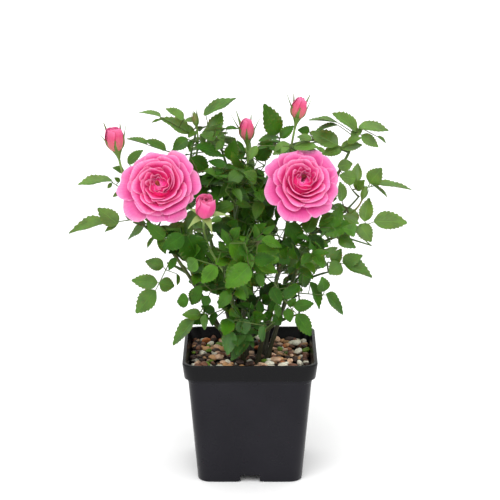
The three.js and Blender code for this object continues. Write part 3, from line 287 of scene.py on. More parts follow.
# Sprays that stand out against the sky or lie foremost: the spray's depth, where its stalk leaves the twig,
# and its leaflets, on the same plane. A leaflet is its foot and tip, across and up, and the seen width as a
# share of its length. The first one ends the stalk.
SPRAYS = {
    "far_left": (-15, (-104, 238), (
        (-112, 244.5, -140, 242.5, 0.31), (-112, 242.5, -116, 238, 0.6), (-105.5, 244, -110, 247, 0.6))),
    "far_left_upper": (-4, (-90, 246), ((-102, 252, -111.5, 255, 0.5),)),
    "far_left_middle": (-10, (-90, 236), ((-105, 234, -111.5, 231, 0.5),)),
    "behind_bloom": (-8, (-95, 252), ((-99, 259, -87, 270.5, 0.5),)),
    "beside_bud": (0, (-63, 268), ((-83, 274.5, -100, 279.5, 0.33), (-68, 270, -85, 279, 0.46))),
    "above_bloom": (0, (-48, 278), ((-51, 280, -62, 269, 0.72), (-47, 278.5, -48.5, 268.5, 0.5))),
    "left": (-20, (-90, 213), (
        (-118.5, 209, -149, 202.5, 0.31), (-108, 208, -123.5, 222, 0.75), (-109, 206.5, -119, 202, 0.4))),
    "left_hanging": (-16, (-82, 210), (
        (-85, 208.5, -101, 196, 0.28), (-94.5, 219, -101, 211.5, 0.7), (-85, 208, -95.5, 210.5, 0.4))),
    "below_bloom": (-30, (-62, 196), (
        (-67, 201.5, -53, 210, 0.55), (-52.5, 200.5, -44, 218.5, 0.5), (-73.5, 206.5, -63.5, 197, 0.62),
        (-54.5, 199, -69.5, 187, 0.75), (-75, 196.5, -69, 183, 0.5), (-46, 219, -53, 213, 0.6))),
    "under_front_bud": (-42, (-36, 204), ((-38, 201.5, -47, 211.5, 0.7), (-23, 213, -33.5, 210.5, 0.5))),
    "under_bloom": (-22, (-73, 210), ((-74, 206.5, -79, 197, 0.6), (-78, 197.5, -84.5, 188.5, 0.35))),
    "low_left": (-24, (-66, 176), (
        (-77.5, 151.5, -94.5, 131.5, 0.6), (-76, 158.5, -97.5, 159.5, 0.66),
        (-71, 172, -85.5, 177.5, 0.75), (-74.5, 158, -62, 155, 1.0), (-60, 166, -59.5, 156, 0.3))),
    "round_left": (-30, (-46, 143.5), (
        (-50.5, 144, -61, 142, 1.0), (-42, 154.5, -48, 139, 0.65), (-40.5, 156, -47, 139.5, 0.6))),
    "foot_left": (-36, (-38.5, 137), (
        (-46, 126.5, -64.5, 104.5, 0.4), (-40.5, 131, -56, 131.5, 0.66), (-36.5, 131, -38, 117, 0.55))),
    "top_left": (8, (-44.5, 282), (
        (-72, 297.5, -89.5, 302.5, 0.28), (-49.5, 283.5, -72.5, 297.5, 0.46),
        (-71.5, 295, -79.5, 293, 0.3), (-53.5, 295, -67.5, 305, 0.42), (-41.5, 293, -53, 294.5, 0.3),
        (-46, 283, -51, 291.5, 0.5), (-50, 281, -42.5, 285.5, 0.5))),
    "top": (2, (-30, 274), ((-37, 298.5, -11.5, 314, 0.36), (-31.5, 280, -23, 302, 0.55))),
    "beside_centre": (0, (-22.5, 270), (
        (-19.5, 287, -9, 288, 0.25), (-17, 262, -11.5, 277.5, 0.75), (-11.5, 263.5, -3, 268.5, 0.6),
        (-5, 268.5, -10, 278.5, 0.4))),
    "top_centre": (5, (28, 268), (
        (22, 283, 10.5, 307, 0.6), (24.5, 280, 35.5, 290, 0.6), (24.5, 280, 6.5, 278, 0.2))),
    "centre": (-4, (4, 257), ((5.5, 262, 17.5, 277, 0.7),)),
    "beside_top": (0, (51.5, 278), ((48, 286, 38.5, 287, 0.7),)),
    "top_right": (-4, (74, 270), (
        (87.5, 289, 112, 286.5, 0.4), (71, 292.5, 47, 296.5, 0.17), (71, 290.5, 52, 286.5, 0.16),
        (86.5, 286, 67, 301.5, 0.34), (90, 282.5, 104, 273, 0.6), (103, 281, 110.5, 276, 0.25),
        (71, 274, 48.5, 286, 0.58), (73.5, 271.5, 91, 274.5, 0.5), (74.5, 271, 57.5, 267, 0.55),
        (81.5, 281.5, 91, 288, 0.6), (78.5, 276.5, 90, 280.5, 0.5))),
    "right": (-12, (83, 237), (
        (104.5, 241.5, 132, 237, 0.19), (97, 242.5, 107, 254.5, 0.9), (99, 241.5, 112, 231, 0.12),
        (86, 243, 87, 259.5, 0.65), (86, 246, 73, 248.5, 0.8), (71, 256.5, 83.5, 258.5, 0.7),
        (85.5, 237.5, 92.5, 244.5, 0.6), (86, 242, 94, 239, 0.6))),
    "beside_right_bloom": (-18, (76.5, 223), (
        (75, 227.5, 73.5, 243, 0.45), (86.5, 209.5, 79.5, 223.5, 0.5))),
    "right_middle": (-22, (77.5, 201), (
        (101, 210.5, 128.5, 210.5, 0.56), (93.5, 210.5, 97, 230.5, 0.58), (89.5, 208, 100, 193.5, 0.85),
        (85, 205, 95, 196, 0.4), (76, 215, 89, 208, 0.55))),
    "right_under": (-30, (65, 199), ((72.5, 197, 86.5, 188.5, 0.62),)),
    "low_right": (-24, (64, 176), (
        (77.5, 175, 101, 163.5, 0.5), (76, 175.5, 92, 182, 0.74), (68, 175, 74.5, 187.5, 0.75),
        (74.5, 174.5, 65, 166, 1.0))),
    "foot_right": (-30, (40, 149.5), (
        (62.5, 148.5, 78.5, 132.5, 0.38), (49.5, 159, 58, 135.5, 0.32), (61, 151, 60, 162.5, 0.6),
        (43.5, 167.5, 46, 153, 0.6))),
    "over_gravel": (-40, (28, 143.5), (
        (38.5, 131.5, 51, 112.5, 0.6), (36, 138, 53, 140, 0.62), (30.5, 136.5, 33.5, 124, 0.8),
        (31.5, 138.5, 38, 145, 0.8), (21.5, 140, 24, 128, 0.5))),
    "front_left": (-58, (-44, 203), ((-51.5, 199, -40, 175, 0.85), (-54.5, 199, -71, 186, 0.75))),
    "front_left_low": (-72, (-24, 184), (
        (-27.5, 173, -40.5, 158.5, 0.75), (-43.5, 178, -52, 169, 0.7), (-28, 174, -15, 180, 0.5))),
    "front_middle": (-76, (-4, 192), ((0, 173.5, -19.5, 153, 0.75), (-16.5, 192, 0, 176, 0.6))),
    "front_right_middle": (-74, (6, 190), (
        (4, 176, 24, 168, 0.55), (10, 195, 27, 189.5, 0.5), (23.5, 180, 15.5, 174, 0.6))),
    "front_right": (-40, (26, 214), ((31, 209, 43.5, 191, 0.7), (21, 191, 32, 173, 0.7))),
    "front_far_right": (-38, (46, 196), (
        (57, 205.5, 84, 206.5, 0.62), (68.5, 205, 73, 224, 0.6), (45.5, 201, 52.5, 216, 0.7),
        (46, 196.5, 64.5, 189, 0.6))),
    "heart_left": (-24, (-44, 256), (
        (-41, 243.5, -19, 248.5, 0.42), (-48, 263.5, -33, 252.5, 0.75), (-19.5, 257, -34, 261.5, 0.5))),
    "heart_top_left": (-14, (-48, 272), ((-43.5, 273, -19.5, 265, 0.42),)),
    "heart_middle": (-34, (-20, 236), (
        (-17, 243, -5, 255, 0.7), (-14, 238, -6, 228, 0.5), (-11.5, 225, 2, 223, 0.38))),
    "heart_right": (-44, (4, 196), ((2.5, 201.5, 13, 208, 0.6),)),
    "low_middle": (-62, (-14, 162), (
        (-16.5, 151, -26.5, 136.5, 0.65), (-11.5, 159, -1.5, 144.5, 0.6), (6.5, 166.5, 10.5, 154, 0.55))),
    "low_front_right": (-58, (20, 158), ((27, 145, 41, 156.5, 0.6), (18, 154, 25.5, 139, 0.65))),
    "low_front_left": (-48, (-32, 152), ((-34, 147, -39.5, 138.5, 0.7), (-61, 179.5, -67, 169, 0.6))),
    "foot_middle": (-58, (-13, 126), (
        (-16.5, 117, -19, 96, 0.65), (-15, 124, -25, 117, 0.6), (-8, 127, -2.5, 113.5, 0.8),
        (-13.5, 125, -27, 118.5, 0.6), (11.5, 121.5, 10, 106.5, 0.5))),
    "beside_canes": (-34, (21.5, 143.5), (
        (21.5, 144.5, 16.5, 132.5, 0.65), (25.5, 146, 38, 154, 0.55), (18, 133, 11.5, 124.5, 0.6),
        (20, 131.5, 25.5, 121, 0.6), (16.5, 147, 10, 140, 0.6))),
    "foot_right_middle": (-40, (22, 160), ((24, 153, 18, 140, 0.75), (41, 156, 28, 147.5, 0.6))),
    "above_right_bloom": (-20, (36, 270), (
        (35.5, 273, 55, 272.5, 0.38), (31, 275.5, 18.5, 267, 0.6), (5.5, 273.5, 0, 261.5, 0.6),
        (50, 279, 38, 281.5, 0.4), (60.5, 268.5, 53.5, 272.5, 0.5))),
    "under_right_bloom": (-32, (58, 200), ((67.5, 217.5, 55.5, 206.5, 0.5),)),
}
DEPTH_VARIES = {"foot": 2, "tip": 9}

# Depths: what lies before the front bud's stem, the front of the crown, and the sprays before the rest
FRONT_STEM_DEPTH = -48
FRONT_DEPTH = -45
FOREMOST = -68

# Small tools

UP = np.array((0.0, 0.0, 1.0))


def vector(numbers):
    return np.array(numbers, float)


def unit(v):
    return v / math.sqrt(v @ v)


def lerp(low, high, share):
    return low + (high - low) * share


def bezier(t, start, middle, end):
    """From the start to the end, bent by the middle."""
    k = 1 - t
    return k * k * start + 2 * k * t * middle + t * t * end


def distance(a, b):
    return math.sqrt((a - b) @ (a - b))


def squares(points, point):
    """The squared distance of each point from one."""
    return ((points - point) ** 2).sum(-1)


def turned_about(v, axis, angle):
    """v turned about a unit axis."""
    c, s = math.cos(angle), math.sin(angle)
    return v * c + np.cross(axis, v) * s + axis * (axis @ v) * (1 - c)


def rotation(axis, angle):
    """The matrix of a turn about a unit axis."""
    x, y, z = axis
    c, s = math.cos(angle), math.sin(angle)
    return np.array((
        (c + x * x * (1 - c), x * y * (1 - c) - z * s, x * z * (1 - c) + y * s),
        (y * x * (1 - c) + z * s, c + y * y * (1 - c), y * z * (1 - c) - x * s),
        (z * x * (1 - c) - y * s, z * y * (1 - c) + x * s, c + z * z * (1 - c)),
    ))


def dice(seed):
    """Numbers between two limits that look random and are the same on every run."""
    state = seed

    def roll(low, high):
        nonlocal state
        state = state * 16807 % 2147483647
        return low + (high - low) * state / 2147483647

    return roll


def any_normal(direction):
    other = UP if abs(direction[2]) < 0.9 else vector((1, 0, 0))
    return unit(np.cross(other, direction))


# Limbs: canes, boughs, and the stems of flowers and foliage


class Limb:
    """A curve with a tapering radius."""

    def __init__(self, name, start, control, end, root_radius, tip_radius, flared=False):
        self.name = name
        self.start, self.control, self.end = start, control, end
        self.root_radius, self.tip_radius, self.flared = root_radius, tip_radius, flared

    def point(self, t):
        return bezier(t, self.start, self.control, self.end)

    def tangent(self, t):
        before, after = max(0.0, t - TANGENT_STEP), min(1.0, t + TANGENT_STEP)
        return unit(self.point(after) - self.point(before))

    def radius(self, t):
        plain = lerp(self.root_radius, self.tip_radius, t)
        if not self.flared:
            return plain
        return plain * (1 + (ROOT_FLARE["swell"] - 1) * max(0.0, 1 - t / ROOT_FLARE["share"]) ** 2)

    def length(self):
        points = np.array([self.point(i / LENGTH_STEPS) for i in range(LENGTH_STEPS + 1)])
        return float(np.sqrt(squares(points[1:], points[:-1])).sum())


limbs = {}


def add_cane(name, foot, tip):
    start = vector((*foot, GRAVEL_TOP + GAP))
    end = vector(tip)
    control = lerp(start, end, CANE_BEND["along"])
    control[2] = lerp(start[2], end[2], CANE_BEND["up"])
    limbs[name] = Limb(name, start, control, end, CANE_FOOT_RADIUS, CANE_TIP_RADIUS, flared=True)


def add_fork(name, on, fork, end, tip_radius, arriving=None):
    """A limb that grows from its parent's tip, or from the side of it at a fork."""
    parent = limbs[on]
    rise = parent.tangent(fork)
    start = parent.point(fork) + rise * (GAP if fork == 1 else 0)
    length = distance(start, end)
    if arriving is None:
        control = lerp(start, end, FORK_BEND["along"]) + rise * FORK_BEND["follow"] * length
    else:
        control = end - arriving * FORK_BEND["along"] * length
    root_radius = min(parent.radius(fork), max(tip_radius, FORK_SHARE * parent.radius(fork)))
    limbs[name] = Limb(name, start, control, end, root_radius, tip_radius)


class Frame:
    """A flower's own frame: its axis out of the calyx, and two directions across it."""

    def __init__(self, origin, axis):
        self.origin, self.axis = origin, axis
        self.across = any_normal(axis)
        self.over = np.cross(axis, self.across)

    def place(self, radial, around, along):
        """Points at radial distances, angles and heights, which may be arrays of one shape."""
        radial, around, along = np.broadcast_arrays(radial, around, along)
        return (
            self.origin
            + (radial * np.cos(around))[..., None] * self.across
            + (radial * np.sin(around))[..., None] * self.over
            + along[..., None] * self.axis
        )


def setting(flower):
    """A flower's frame, with its origin on the neck, and the length from there to its top."""
    if "faces" in flower:
        axis = unit(vector(flower["faces"]))
        return Frame(vector(flower["centre"]) - axis * BLOOM_DEPTH, axis), BLOOM_DEPTH
    neck = vector(flower["base"])
    axis = vector(flower["top"]) - neck
    return Frame(neck, unit(axis)), math.sqrt(axis @ axis)


def stem_name(flower_name):
    return "stem_" + flower_name


def grow_limbs():
    for name, (foot, tip) in CANES.items():
        add_cane(name, foot, tip)
    for name, (on, fork, tip) in BOUGHS.items():
        add_fork(name, on, fork, vector(tip), BOUGH_TIP_RADIUS)
    for group, pedicel in ((BLOOMS, BLOOM_PEDICEL), (BUDS, BUD_PEDICEL)):
        for name, flower in group.items():
            place = setting(flower)[0]
            end = place.origin - place.axis * (pedicel + GAP)
            add_fork(stem_name(name), flower["on"], flower["fork"], end, FLOWER_STEM_TIP_RADIUS, place.axis)
    for name, bud in GREEN_BUDS.items():
        place = setting(bud)[0]
        add_fork(name, bud["on"], bud["fork"], place.origin, TWIG_TIP_RADIUS, place.axis)
    for name, mass in MASSES.items():
        add_fork(name, mass.on, mass.fork, vector(mass.top), TWIG_TIP_RADIUS)


class Balls:
    """Balls along the limbs and over the flowers, that leaves keep off."""

    def __init__(self):
        self.names, self.points, self.radii = [], [], []

    def add(self, name, point, radius):
        self.names.append(name)
        self.points.append(point)
        self.radii.append(radius)

    def without(self, name):
        keep = np.array([other != name for other in self.names])
        return np.array(self.points)[keep], np.array(self.radii)[keep]


def balls_of_plant():
    balls = Balls()
    for limb in limbs.values():
        steps = math.ceil(limb.length() / BALL_SPACING)
        for i in range(steps + 1):
            balls.add(limb.name, limb.point(i / steps), limb.radius(i / steps))
    for name, bloom in BLOOMS.items():
        place = setting(bloom)[0]
        balls.add(name, place.origin + place.axis * BLOOM_CORE["along"], BLOOM_CORE["radius"])
        for i in range(BLOOM_RINGS["count"]):
            around = 2 * math.pi * i / BLOOM_RINGS["count"]
            for share in BLOOM_RINGS["shares"]:
                point = place.place(share * BLOOM_WIDTH, around, BLOOM_RINGS["along"])
                balls.add(name, point, BLOOM_RINGS["radius"])
    for name, bud in {**BUDS, **GREEN_BUDS}.items():
        place, length = setting(bud)
        for share in BUD_BALLS["shares"]:
            point = place.origin + place.axis * share * length
            balls.add(name, point, 0.5 * bud["width"] + BUD_BALLS["room"])
    return balls


# The rule by which foliage grows


class Blade:
    """A leaflet: its foot, the way it points, the way its upper side faces, and its corners."""

    def __init__(self, foot, direction, normal, length, wide=1.0, sway=BLADE_SWAY):
        self.foot, self.direction, self.length = foot, direction, length
        self.wide, self.sway = wide, sway
        self.face = unit(normal - direction * (normal @ direction))
        self.side = np.cross(direction, self.face)
        self.widest = foot + direction * LEAFLET_WIDEST * length
        self.tip = foot + direction * length
        half = LEAFLET_WIDTH * length / 2
        lifted = self.widest + self.face * LEAFLET_FOLD * length
        self.corners = np.array((foot, self.tip, lifted - self.side * half, lifted + self.side * half))


class Leaf:
    """A compound leaf from its foot to its tip: the stalk, the terminal leaflet, and the pairs beside it."""

    def __init__(self, foot, tip, heart, roll):
        span = distance(foot, tip)
        along = unit(tip - foot)
        varies, up_varies = FACING["varies"], FACING["up_varies"]
        towards = vector((
            FACING["sideways"] * along[0] + roll(-varies, varies),
            math.copysign(FACING["outwards"], heart[1] - BACK_DEPTH) + roll(-varies, varies),
            FACING["up"] + roll(-up_varies, up_varies),
        ))
        end = foot + along * STALK_SHARE * span + UP * STALK_RISE * span
        self.foot, self.end = foot, end
        self.forward = unit(end - foot)
        self.normal = unit(towards - self.forward * (towards @ self.forward))
        self.stalk_length = distance(foot, end)
        self.terminal = Blade(end, unit(tip - end), self.normal, distance(tip, end))
        self.sides = []
        for shape in (SECOND_PAIR, FIRST_PAIR) if span > TWO_PAIR_SPAN else (FIRST_PAIR,):
            for sign in (1, -1):
                angle = math.radians(shape["turn"] + roll(-PAIR_VARIES["turn"], PAIR_VARIES["turn"])) * sign
                direction = turned_about(self.forward, self.normal, angle)
                direction[2] -= roll(0, PAIR_VARIES["droop"])
                start = foot + self.forward * shape["at"] * self.stalk_length
                length = shape["length"] * span * roll(*PAIR_VARIES["length"])
                self.sides.append(Blade(start, unit(direction), self.normal, length))


class Growth:
    """The twigs and leaves of one mass."""

    def __init__(self, name, heart, finer, index, balls):
        self.name, self.index, self.finer = name, index, finer
        self.heart = vector(heart)
        self.others = np.array([mass.heart for other, mass in MASSES.items() if other != name], float)
        self.apart = 2 * np.sqrt(squares(self.others, self.heart))
        points, radii = balls.without(name)
        near = squares(points, self.heart) < NEAR_REACH ** 2
        self.ball_points, self.ball_radii = points[near], radii[near]
        self.twigs, self.fine_twigs, self.leaves, self.middles, self.feet = [], [], [], [], []
        self.under_sky = False

    def in_space(self, points, margin=SPACE_MARGIN):
        """Whether each point is nearer the mass's heart than any other heart, by the margin."""
        nearer = squares(points[:, None], self.others) - squares(points, self.heart)[:, None]
        return (nearer / self.apart > margin).all(1)

    def ball_clear(self, blade):
        reach = self.ball_radii + LIMB_CLEARANCE
        offset = self.ball_points - blade.foot
        along = offset @ blade.direction
        share = along / blade.length
        taper = np.where(share < LEAFLET_WIDEST, share / LEAFLET_WIDEST, (1 - share) / (1 - LEAFLET_WIDEST))
        width = LEAFLET_WIDTH * blade.length * np.maximum(0, taper) / 2
        clear = np.abs(offset @ blade.face) > reach + LEAFLET_FOLD * blade.length
        clear |= (along < -reach) | (along > blade.length + reach)
        clear |= np.abs(offset @ blade.side) > width + reach
        return clear.all()

    def blade_fits(self, blade, middles, room):
        if not (self.in_space(blade.corners).all() and above_pot(blade.corners).all()):
            return False
        if self.under_sky and not in_crown(blade):
            return False
        if not above_pot(blade.widest[None])[0]:
            return False
        if middles and (squares(np.array(middles), blade.widest) <= room ** 2).any():
            return False
        return self.ball_clear(blade)

    def twig_fits(self, foot, way, length, host_room=0):
        """Whether a straight twig keeps to the space and off the limbs, apart from what it grows on."""
        points = foot + np.arange(TWIG_CHECK["first"], length + TINY, TWIG_CHECK["step"])[:, None] * way
        if not (self.in_space(points, SPACE_MARGIN + TWIG_TIP_RADIUS).all() and above_pot(points).all()):
            return False
        apart = np.sqrt(squares(points[:, None], self.ball_points))
        touching = apart < self.ball_radii + TWIG_TIP_RADIUS + LIMB_CLEARANCE
        if host_room:
            touching &= np.sqrt(squares(self.ball_points, foot)) > host_room
        return not touching.any()

    def longest_twig(self, foot, way, spans, host_room=0):
        return next((span for span in spans if self.twig_fits(foot, way, span, host_room)), 0)

    def keep(self, leaf, least, room=LEAFLET_ROOM, host_room=0):
        if not self.twig_fits(leaf.foot, leaf.forward, leaf.stalk_length, host_room):
            return False
        taken = list(self.middles)
        if not self.blade_fits(leaf.terminal, taken, room):
            return False
        taken.append(leaf.terminal.widest)
        kept = []
        for blade in leaf.sides:
            if self.blade_fits(blade, taken, room):
                taken.append(blade.widest)
                kept.append(blade)
        if len(taken) < len(self.middles) + least:
            return False
        leaf.sides = kept
        self.middles = taken
        self.leaves.append(leaf)
        return True

    def any_way(self, turn, roll):
        around = turn * GOLDEN_ANGLE + roll(-ANY_WAY["turn"], ANY_WAY["turn"])
        rise = roll(*ANY_WAY["rise"])
        return vector((math.cos(around) * math.cos(rise), math.sin(around) * math.cos(rise), math.sin(rise)))

    def fill_from(self, foot, way, roll, spans=FILL_SPANS, room=LEAFLET_ROOM, host_room=0):
        """Whether the first leaf of these spans that fits was kept."""
        for span in spans:
            leaf = Leaf(foot, foot + way * span, self.heart, roll)
            near = distance(leaf.terminal.tip, self.heart) < FILL_REACH
            if near and self.keep(leaf, LEAST_FILLING, room, host_room):
                return True
        return False

    def grow(self, tips, fill):
        """The twig and leaves that the solid has."""
        roll = dice(SEEDS["growth"] * (self.index + 7))
        stem = limbs[self.name]
        shares = [i / STEM_STEPS for i in range(STEM_STEPS)]
        inside = next((share for share in shares if self.in_space(stem.point(share)[None])[0]), 1)
        start = max(STEM_START["least"], inside + STEM_START["inside"])
        foot = stem.point(lerp(start, 1, 0.5))
        for turn in range(TRIES):
            way = self.any_way(turn, roll)
            length = self.longest_twig(foot, way, TWIG_SPANS)
            if length:
                self.twigs.append((foot, foot + way * length))
                break
        self.feet = [stem.point(lerp(start, STEM_END, share)) for share in STEM_SHARES]
        self.feet += [lerp(*twig, share) for twig in self.twigs for share in (TWIG_MIDDLE, TWIG_END)]
        for numbers in tips:
            tip = vector(numbers)
            for foot in sorted(self.feet, key=lambda foot: abs(distance(foot, tip) - REACH_SPAN)):
                if self.keep(Leaf(foot, tip, self.heart, roll), LEAST_REACHING):
                    break
        for low, high in self.twigs:
            self.fill_from(lerp(low, high, TWIG_END), unit(high - low), roll)
        for i in range(fill):
            foot = self.feet[(i * 3 + 1) % len(self.feet)]
            for turn in range(TRIES):
                if self.fill_from(foot, self.any_way(2 * i + turn, roll), roll):
                    break

    def open_sky(self, sprays):
        """Leaves out what would close the sky around the crown, and keeps room for the sprays."""
        for leaf in self.leaves:
            leaf.sides = [blade for blade in leaf.sides if in_crown(blade)]
        self.leaves = [leaf for leaf in self.leaves if in_crown(leaf.terminal)]
        leaves = self.leaves + sprays
        self.middles = [blade.widest for leaf in leaves for blade in (leaf.terminal, *leaf.sides)]
        self.under_sky = True

    def drop_bare_twigs(self):
        """Leaves out the twigs that carry nothing."""
        for twigs in (self.fine_twigs, self.twigs):
            feet = [leaf.foot for leaf in self.leaves] + [low for low, _ in self.fine_twigs]
            twigs[:] = [twig for twig in twigs if any(on_twig(foot, *twig) for foot in feet)]

    def grow_finer(self):
        """Finer twigs and shorter leaves in what room is left, also from the limbs that cross the space."""
        roll = dice(SEEDS["finer"] * (self.index + 5))
        hosts = [(foot, 0) for foot in self.feet]
        for name in (*CANES, *BOUGHS):
            points = [limbs[name].point(i / HOST_STEPS) for i in range(4, HOST_STEPS)]
            hosts += [(point, HOST_ROOM) for point in points
                      if point[2] > HOST_HEIGHT and self.in_space(point[None])[0]]
        for i in range(self.finer):
            foot, room = hosts[(i * 5 + 2) % len(hosts)]
            for turn in range(FINE_TRIES if i % 3 == 0 else 0):
                way = self.any_way(i + turn, roll)
                length = self.longest_twig(foot, way, FINE_TWIG_SPANS, room)
                if length and inside_crown(*seen(foot + way * length)):
                    self.fine_twigs.append((foot, foot + way * length))
                    hosts += [(foot + way * length * share, 0) for share in FINE_TWIG_FEET]
                    foot, room = hosts[-1]
                    break
            for turn in range(FINE_TRIES):
                way = self.any_way(2 * i + turn, roll)
                if self.fill_from(foot, way, roll, FINE_SPANS, FINE_ROOM, room):
                    break


def on_twig(foot, low, high):
    """Whether a foot stands on a twig past the first quarter of it."""
    along = (foot - low) @ (high - low) / distance(low, high) ** 2
    return 0.25 < along < 1.1 and distance(foot, lerp(low, high, along)) < 1


def above_pot(points):
    """Nothing green dips under the rim inside the pot's outline."""
    beside = np.abs(points[:, :2]).max(1) > RIM_HALF + 2
    return beside | (points[:, 2] > POT_HEIGHT + 1)


def seen(point):
    """Where the line of sight from the front through a point meets the plane through the pot's middle."""
    camera = vector(CAMERA_PLACE)
    met = camera + (point - camera) * camera[1] / (camera[1] - point[1])
    return met[0], met[2]


def at_depth(x, z, depth):
    """The point at a depth on the line of sight through a place of the same plane."""
    camera = vector(CAMERA_PLACE)
    return camera + (vector((x, 0, z)) - camera) * (depth - camera[1]) / -camera[1]


def inside_crown(x, z):
    inside = False
    for (x0, z0), (x1, z1) in zip(CROWN, CROWN[1:] + CROWN[:1]):
        if (z0 > z) != (z1 > z) and x < x0 + (z - z0) * (x1 - x0) / (z1 - z0):
            inside = not inside
    return inside


def hides_bud_stem(blade):
    """Whether a leaflet at the front crosses the stem of the front bud."""
    stem = limbs[stem_name("bud_front")]
    if blade.widest[1] > FRONT_STEM_DEPTH:
        return False
    line = np.array([seen(stem.point(share)) for share in np.linspace(0.2, 1, 9)])
    return squares(line, seen(blade.widest)).min() < (0.4 * blade.length) ** 2


def in_crown(blade):
    """Whether a leaflet lies within the crown as the front shows it, and off what is seen through it."""
    if hides_bud_stem(blade):
        return False
    if not (inside_crown(*seen(blade.widest)) and inside_crown(*seen(lerp(blade.foot, blade.tip, 0.85)))):
        return False
    line = np.array([seen(lerp(blade.foot, blade.tip, share)) for share in np.linspace(0, 1, 6)])
    half = 0.2 * blade.length
    return all((squares(line, (x, z)) > (radius + half) ** 2).all() for x, z, radius in OPENINGS)


class Spray:
    """A compound leaf laid out as the front shows it, on a twig from the nearest limb."""

    def __init__(self, depth, foot, leaflets, roll):
        self.foot = at_depth(*foot, depth)
        blades = []
        for x0, z0, x1, z1, share in leaflets:
            low, high = (at_depth(x, z, depth + roll(-varies, varies)) for x, z, varies in
                         ((x0, z0, DEPTH_VARIES["foot"]), (x1, z1, DEPTH_VARIES["tip"])))
            way = unit(high - low)
            sight = unit(vector(CAMERA_PLACE) - low)
            plain = unit(sight - way * (sight @ way))
            wide = share / LEAFLET_WIDTH
            turn = math.acos(min(1.0, wide))
            face = max((turned_about(plain, way, side * turn) for side in (1, -1)), key=lambda face: face[2])
            blades.append(Blade(low, way, face, distance(low, high), max(1.0, wide), SPRAY_SWAY))
        self.terminal, *self.sides = blades
        self.end = self.terminal.foot
        self.normal = self.terminal.face
        points = [limb.point(i / HOST_STEPS) for limb in limbs.values() for i in range(4, HOST_STEPS + 1)]
        self.host = min(points, key=self.reach_from)

    def reach_from(self, point):
        """How far the spray is from a point, which counts for more above it."""
        return distance(point, self.foot) + max(0, point[2] - self.foot[2])


def grow_sprays():
    roll = dice(SEEDS["sprays"])
    return [Spray(*numbers, roll) for numbers in SPRAYS.values()]


def grow_foliage(sprays):
    balls = balls_of_plant()
    growths = []
    for name, mass in MASSES.items():
        growth = Growth(name, mass.heart, mass.finer, len(growths), balls)
        growth.grow(mass.tips, mass.fill)
        growths.append(growth)
    for name, (heart, finer) in SHOOTS.items():
        growths.append(Growth(name, heart, finer, len(growths), balls))
    for growth in growths:
        growth.open_sky(sprays)
        growth.grow_finer()
        growth.drop_bare_twigs()
    return growths


# Meshes


class Pile:
    """The points and faces of one piece, gathered shape by shape."""

    def __init__(self):
        self.points, self.coords, self.faces, self.looks = [], [], [], []
        self.count = 0

    def add(self, points, faces, look=0, coords=None):
        points = np.asarray(points, float).reshape(-1, 3)
        self.points.append(points)
        self.coords.append(np.zeros((len(points), 2)) if coords is None else coords.reshape(-1, 2))
        first = self.count
        self.faces += [tuple(i + first for i in face) for face in faces]
        self.looks += look if isinstance(look, list) else [look] * len(faces)
        self.count += len(points)

    def object(self, name, materials, sharp_degrees=50):
        mesh = bpy.data.meshes.new(name)
        mesh.from_pydata((np.concatenate(self.points) * MM).tolist(), [], self.faces)
        for material in materials:
            mesh.materials.append(material)
        mesh.polygons.foreach_set("material_index", self.looks)
        mesh.polygons.foreach_set("use_smooth", [True] * len(mesh.polygons))
        corners = np.zeros(len(mesh.loops), np.int32)
        mesh.loops.foreach_get("vertex_index", corners)
        mesh.uv_layers.new(name="UVMap").data.foreach_set("uv", np.concatenate(self.coords)[corners].ravel())
        mesh.set_sharp_from_angle(angle=math.radians(sharp_degrees))
        mesh.update()
        made = bpy.data.objects.new(name, mesh)
        bpy.context.scene.collection.objects.link(made)
        return made


def dress(piece, nodes=()):
    """The piece rides on the plant and stands for the nodes."""
    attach(piece, "root")
    if nodes:
        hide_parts(*nodes)
    return piece


def grid_faces(rows, columns, around=False):
    """Quads over a grid of points, row by row; around joins the last column to the first."""
    return [
        (r * columns + c, r * columns + (c + 1) % columns,
         (r + 1) * columns + (c + 1) % columns, (r + 1) * columns + c)
        for r in range(rows - 1)
        for c in range(columns if around else columns - 1)
    ]


def ring_angles(sides):
    return np.arange(sides) * 2 * math.pi / sides


def tube_faces(rings, sides):
    last = (rings - 1) * sides
    ends = [tuple(range(sides - 1, -1, -1)), tuple(range(last, last + sides))]
    return grid_faces(rings, sides, around=True) + ends


def tube_points(centres, radii, sides):
    """Rings about a line of centres. radii is one radius a ring, or a table of one a point."""
    centres = np.asarray(centres, float)
    tangents = np.gradient(centres, axis=0)
    tangents /= np.linalg.norm(tangents, axis=1)[:, None]
    across = any_normal(tangents[0])
    cosines, sines = (turn(ring_angles(sides)) for turn in (np.cos, np.sin))
    radii = np.broadcast_to(np.reshape(radii, (len(centres), -1)), (len(centres), sides))
    rings = []
    for centre, tangent, reach in zip(centres, tangents, radii):
        across = unit(across - tangent * (across @ tangent))
        over = np.cross(tangent, across)
        rings.append(centre + (reach * cosines)[:, None] * across + (reach * sines)[:, None] * over)
    return np.array(rings)


def add_tube(pile, centres, radii, sides, look=0):
    points = tube_points(centres, radii, sides)
    along = np.linspace(0, 1, len(points))[:, None] + np.zeros((1, sides))
    around = np.zeros((len(points), 1)) + np.linspace(0, 1, sides)[None]
    pile.add(points, tube_faces(len(points), sides), look, np.stack((around, along), axis=-1))


def turned_solid(pile, place, profile, sides, look=0):
    """A solid of revolution about the flower's axis, from pairs of distance along it and radius."""
    along, radius = np.array(profile, float).T[:, :, None]
    angles = ring_angles(sides)[None]
    u, v = np.broadcast_arrays(angles / (2 * math.pi), np.linspace(0, 1, len(profile))[:, None])
    pile.add(place.place(radius, angles, along), tube_faces(len(profile), sides), look, np.stack((u, v), -1))


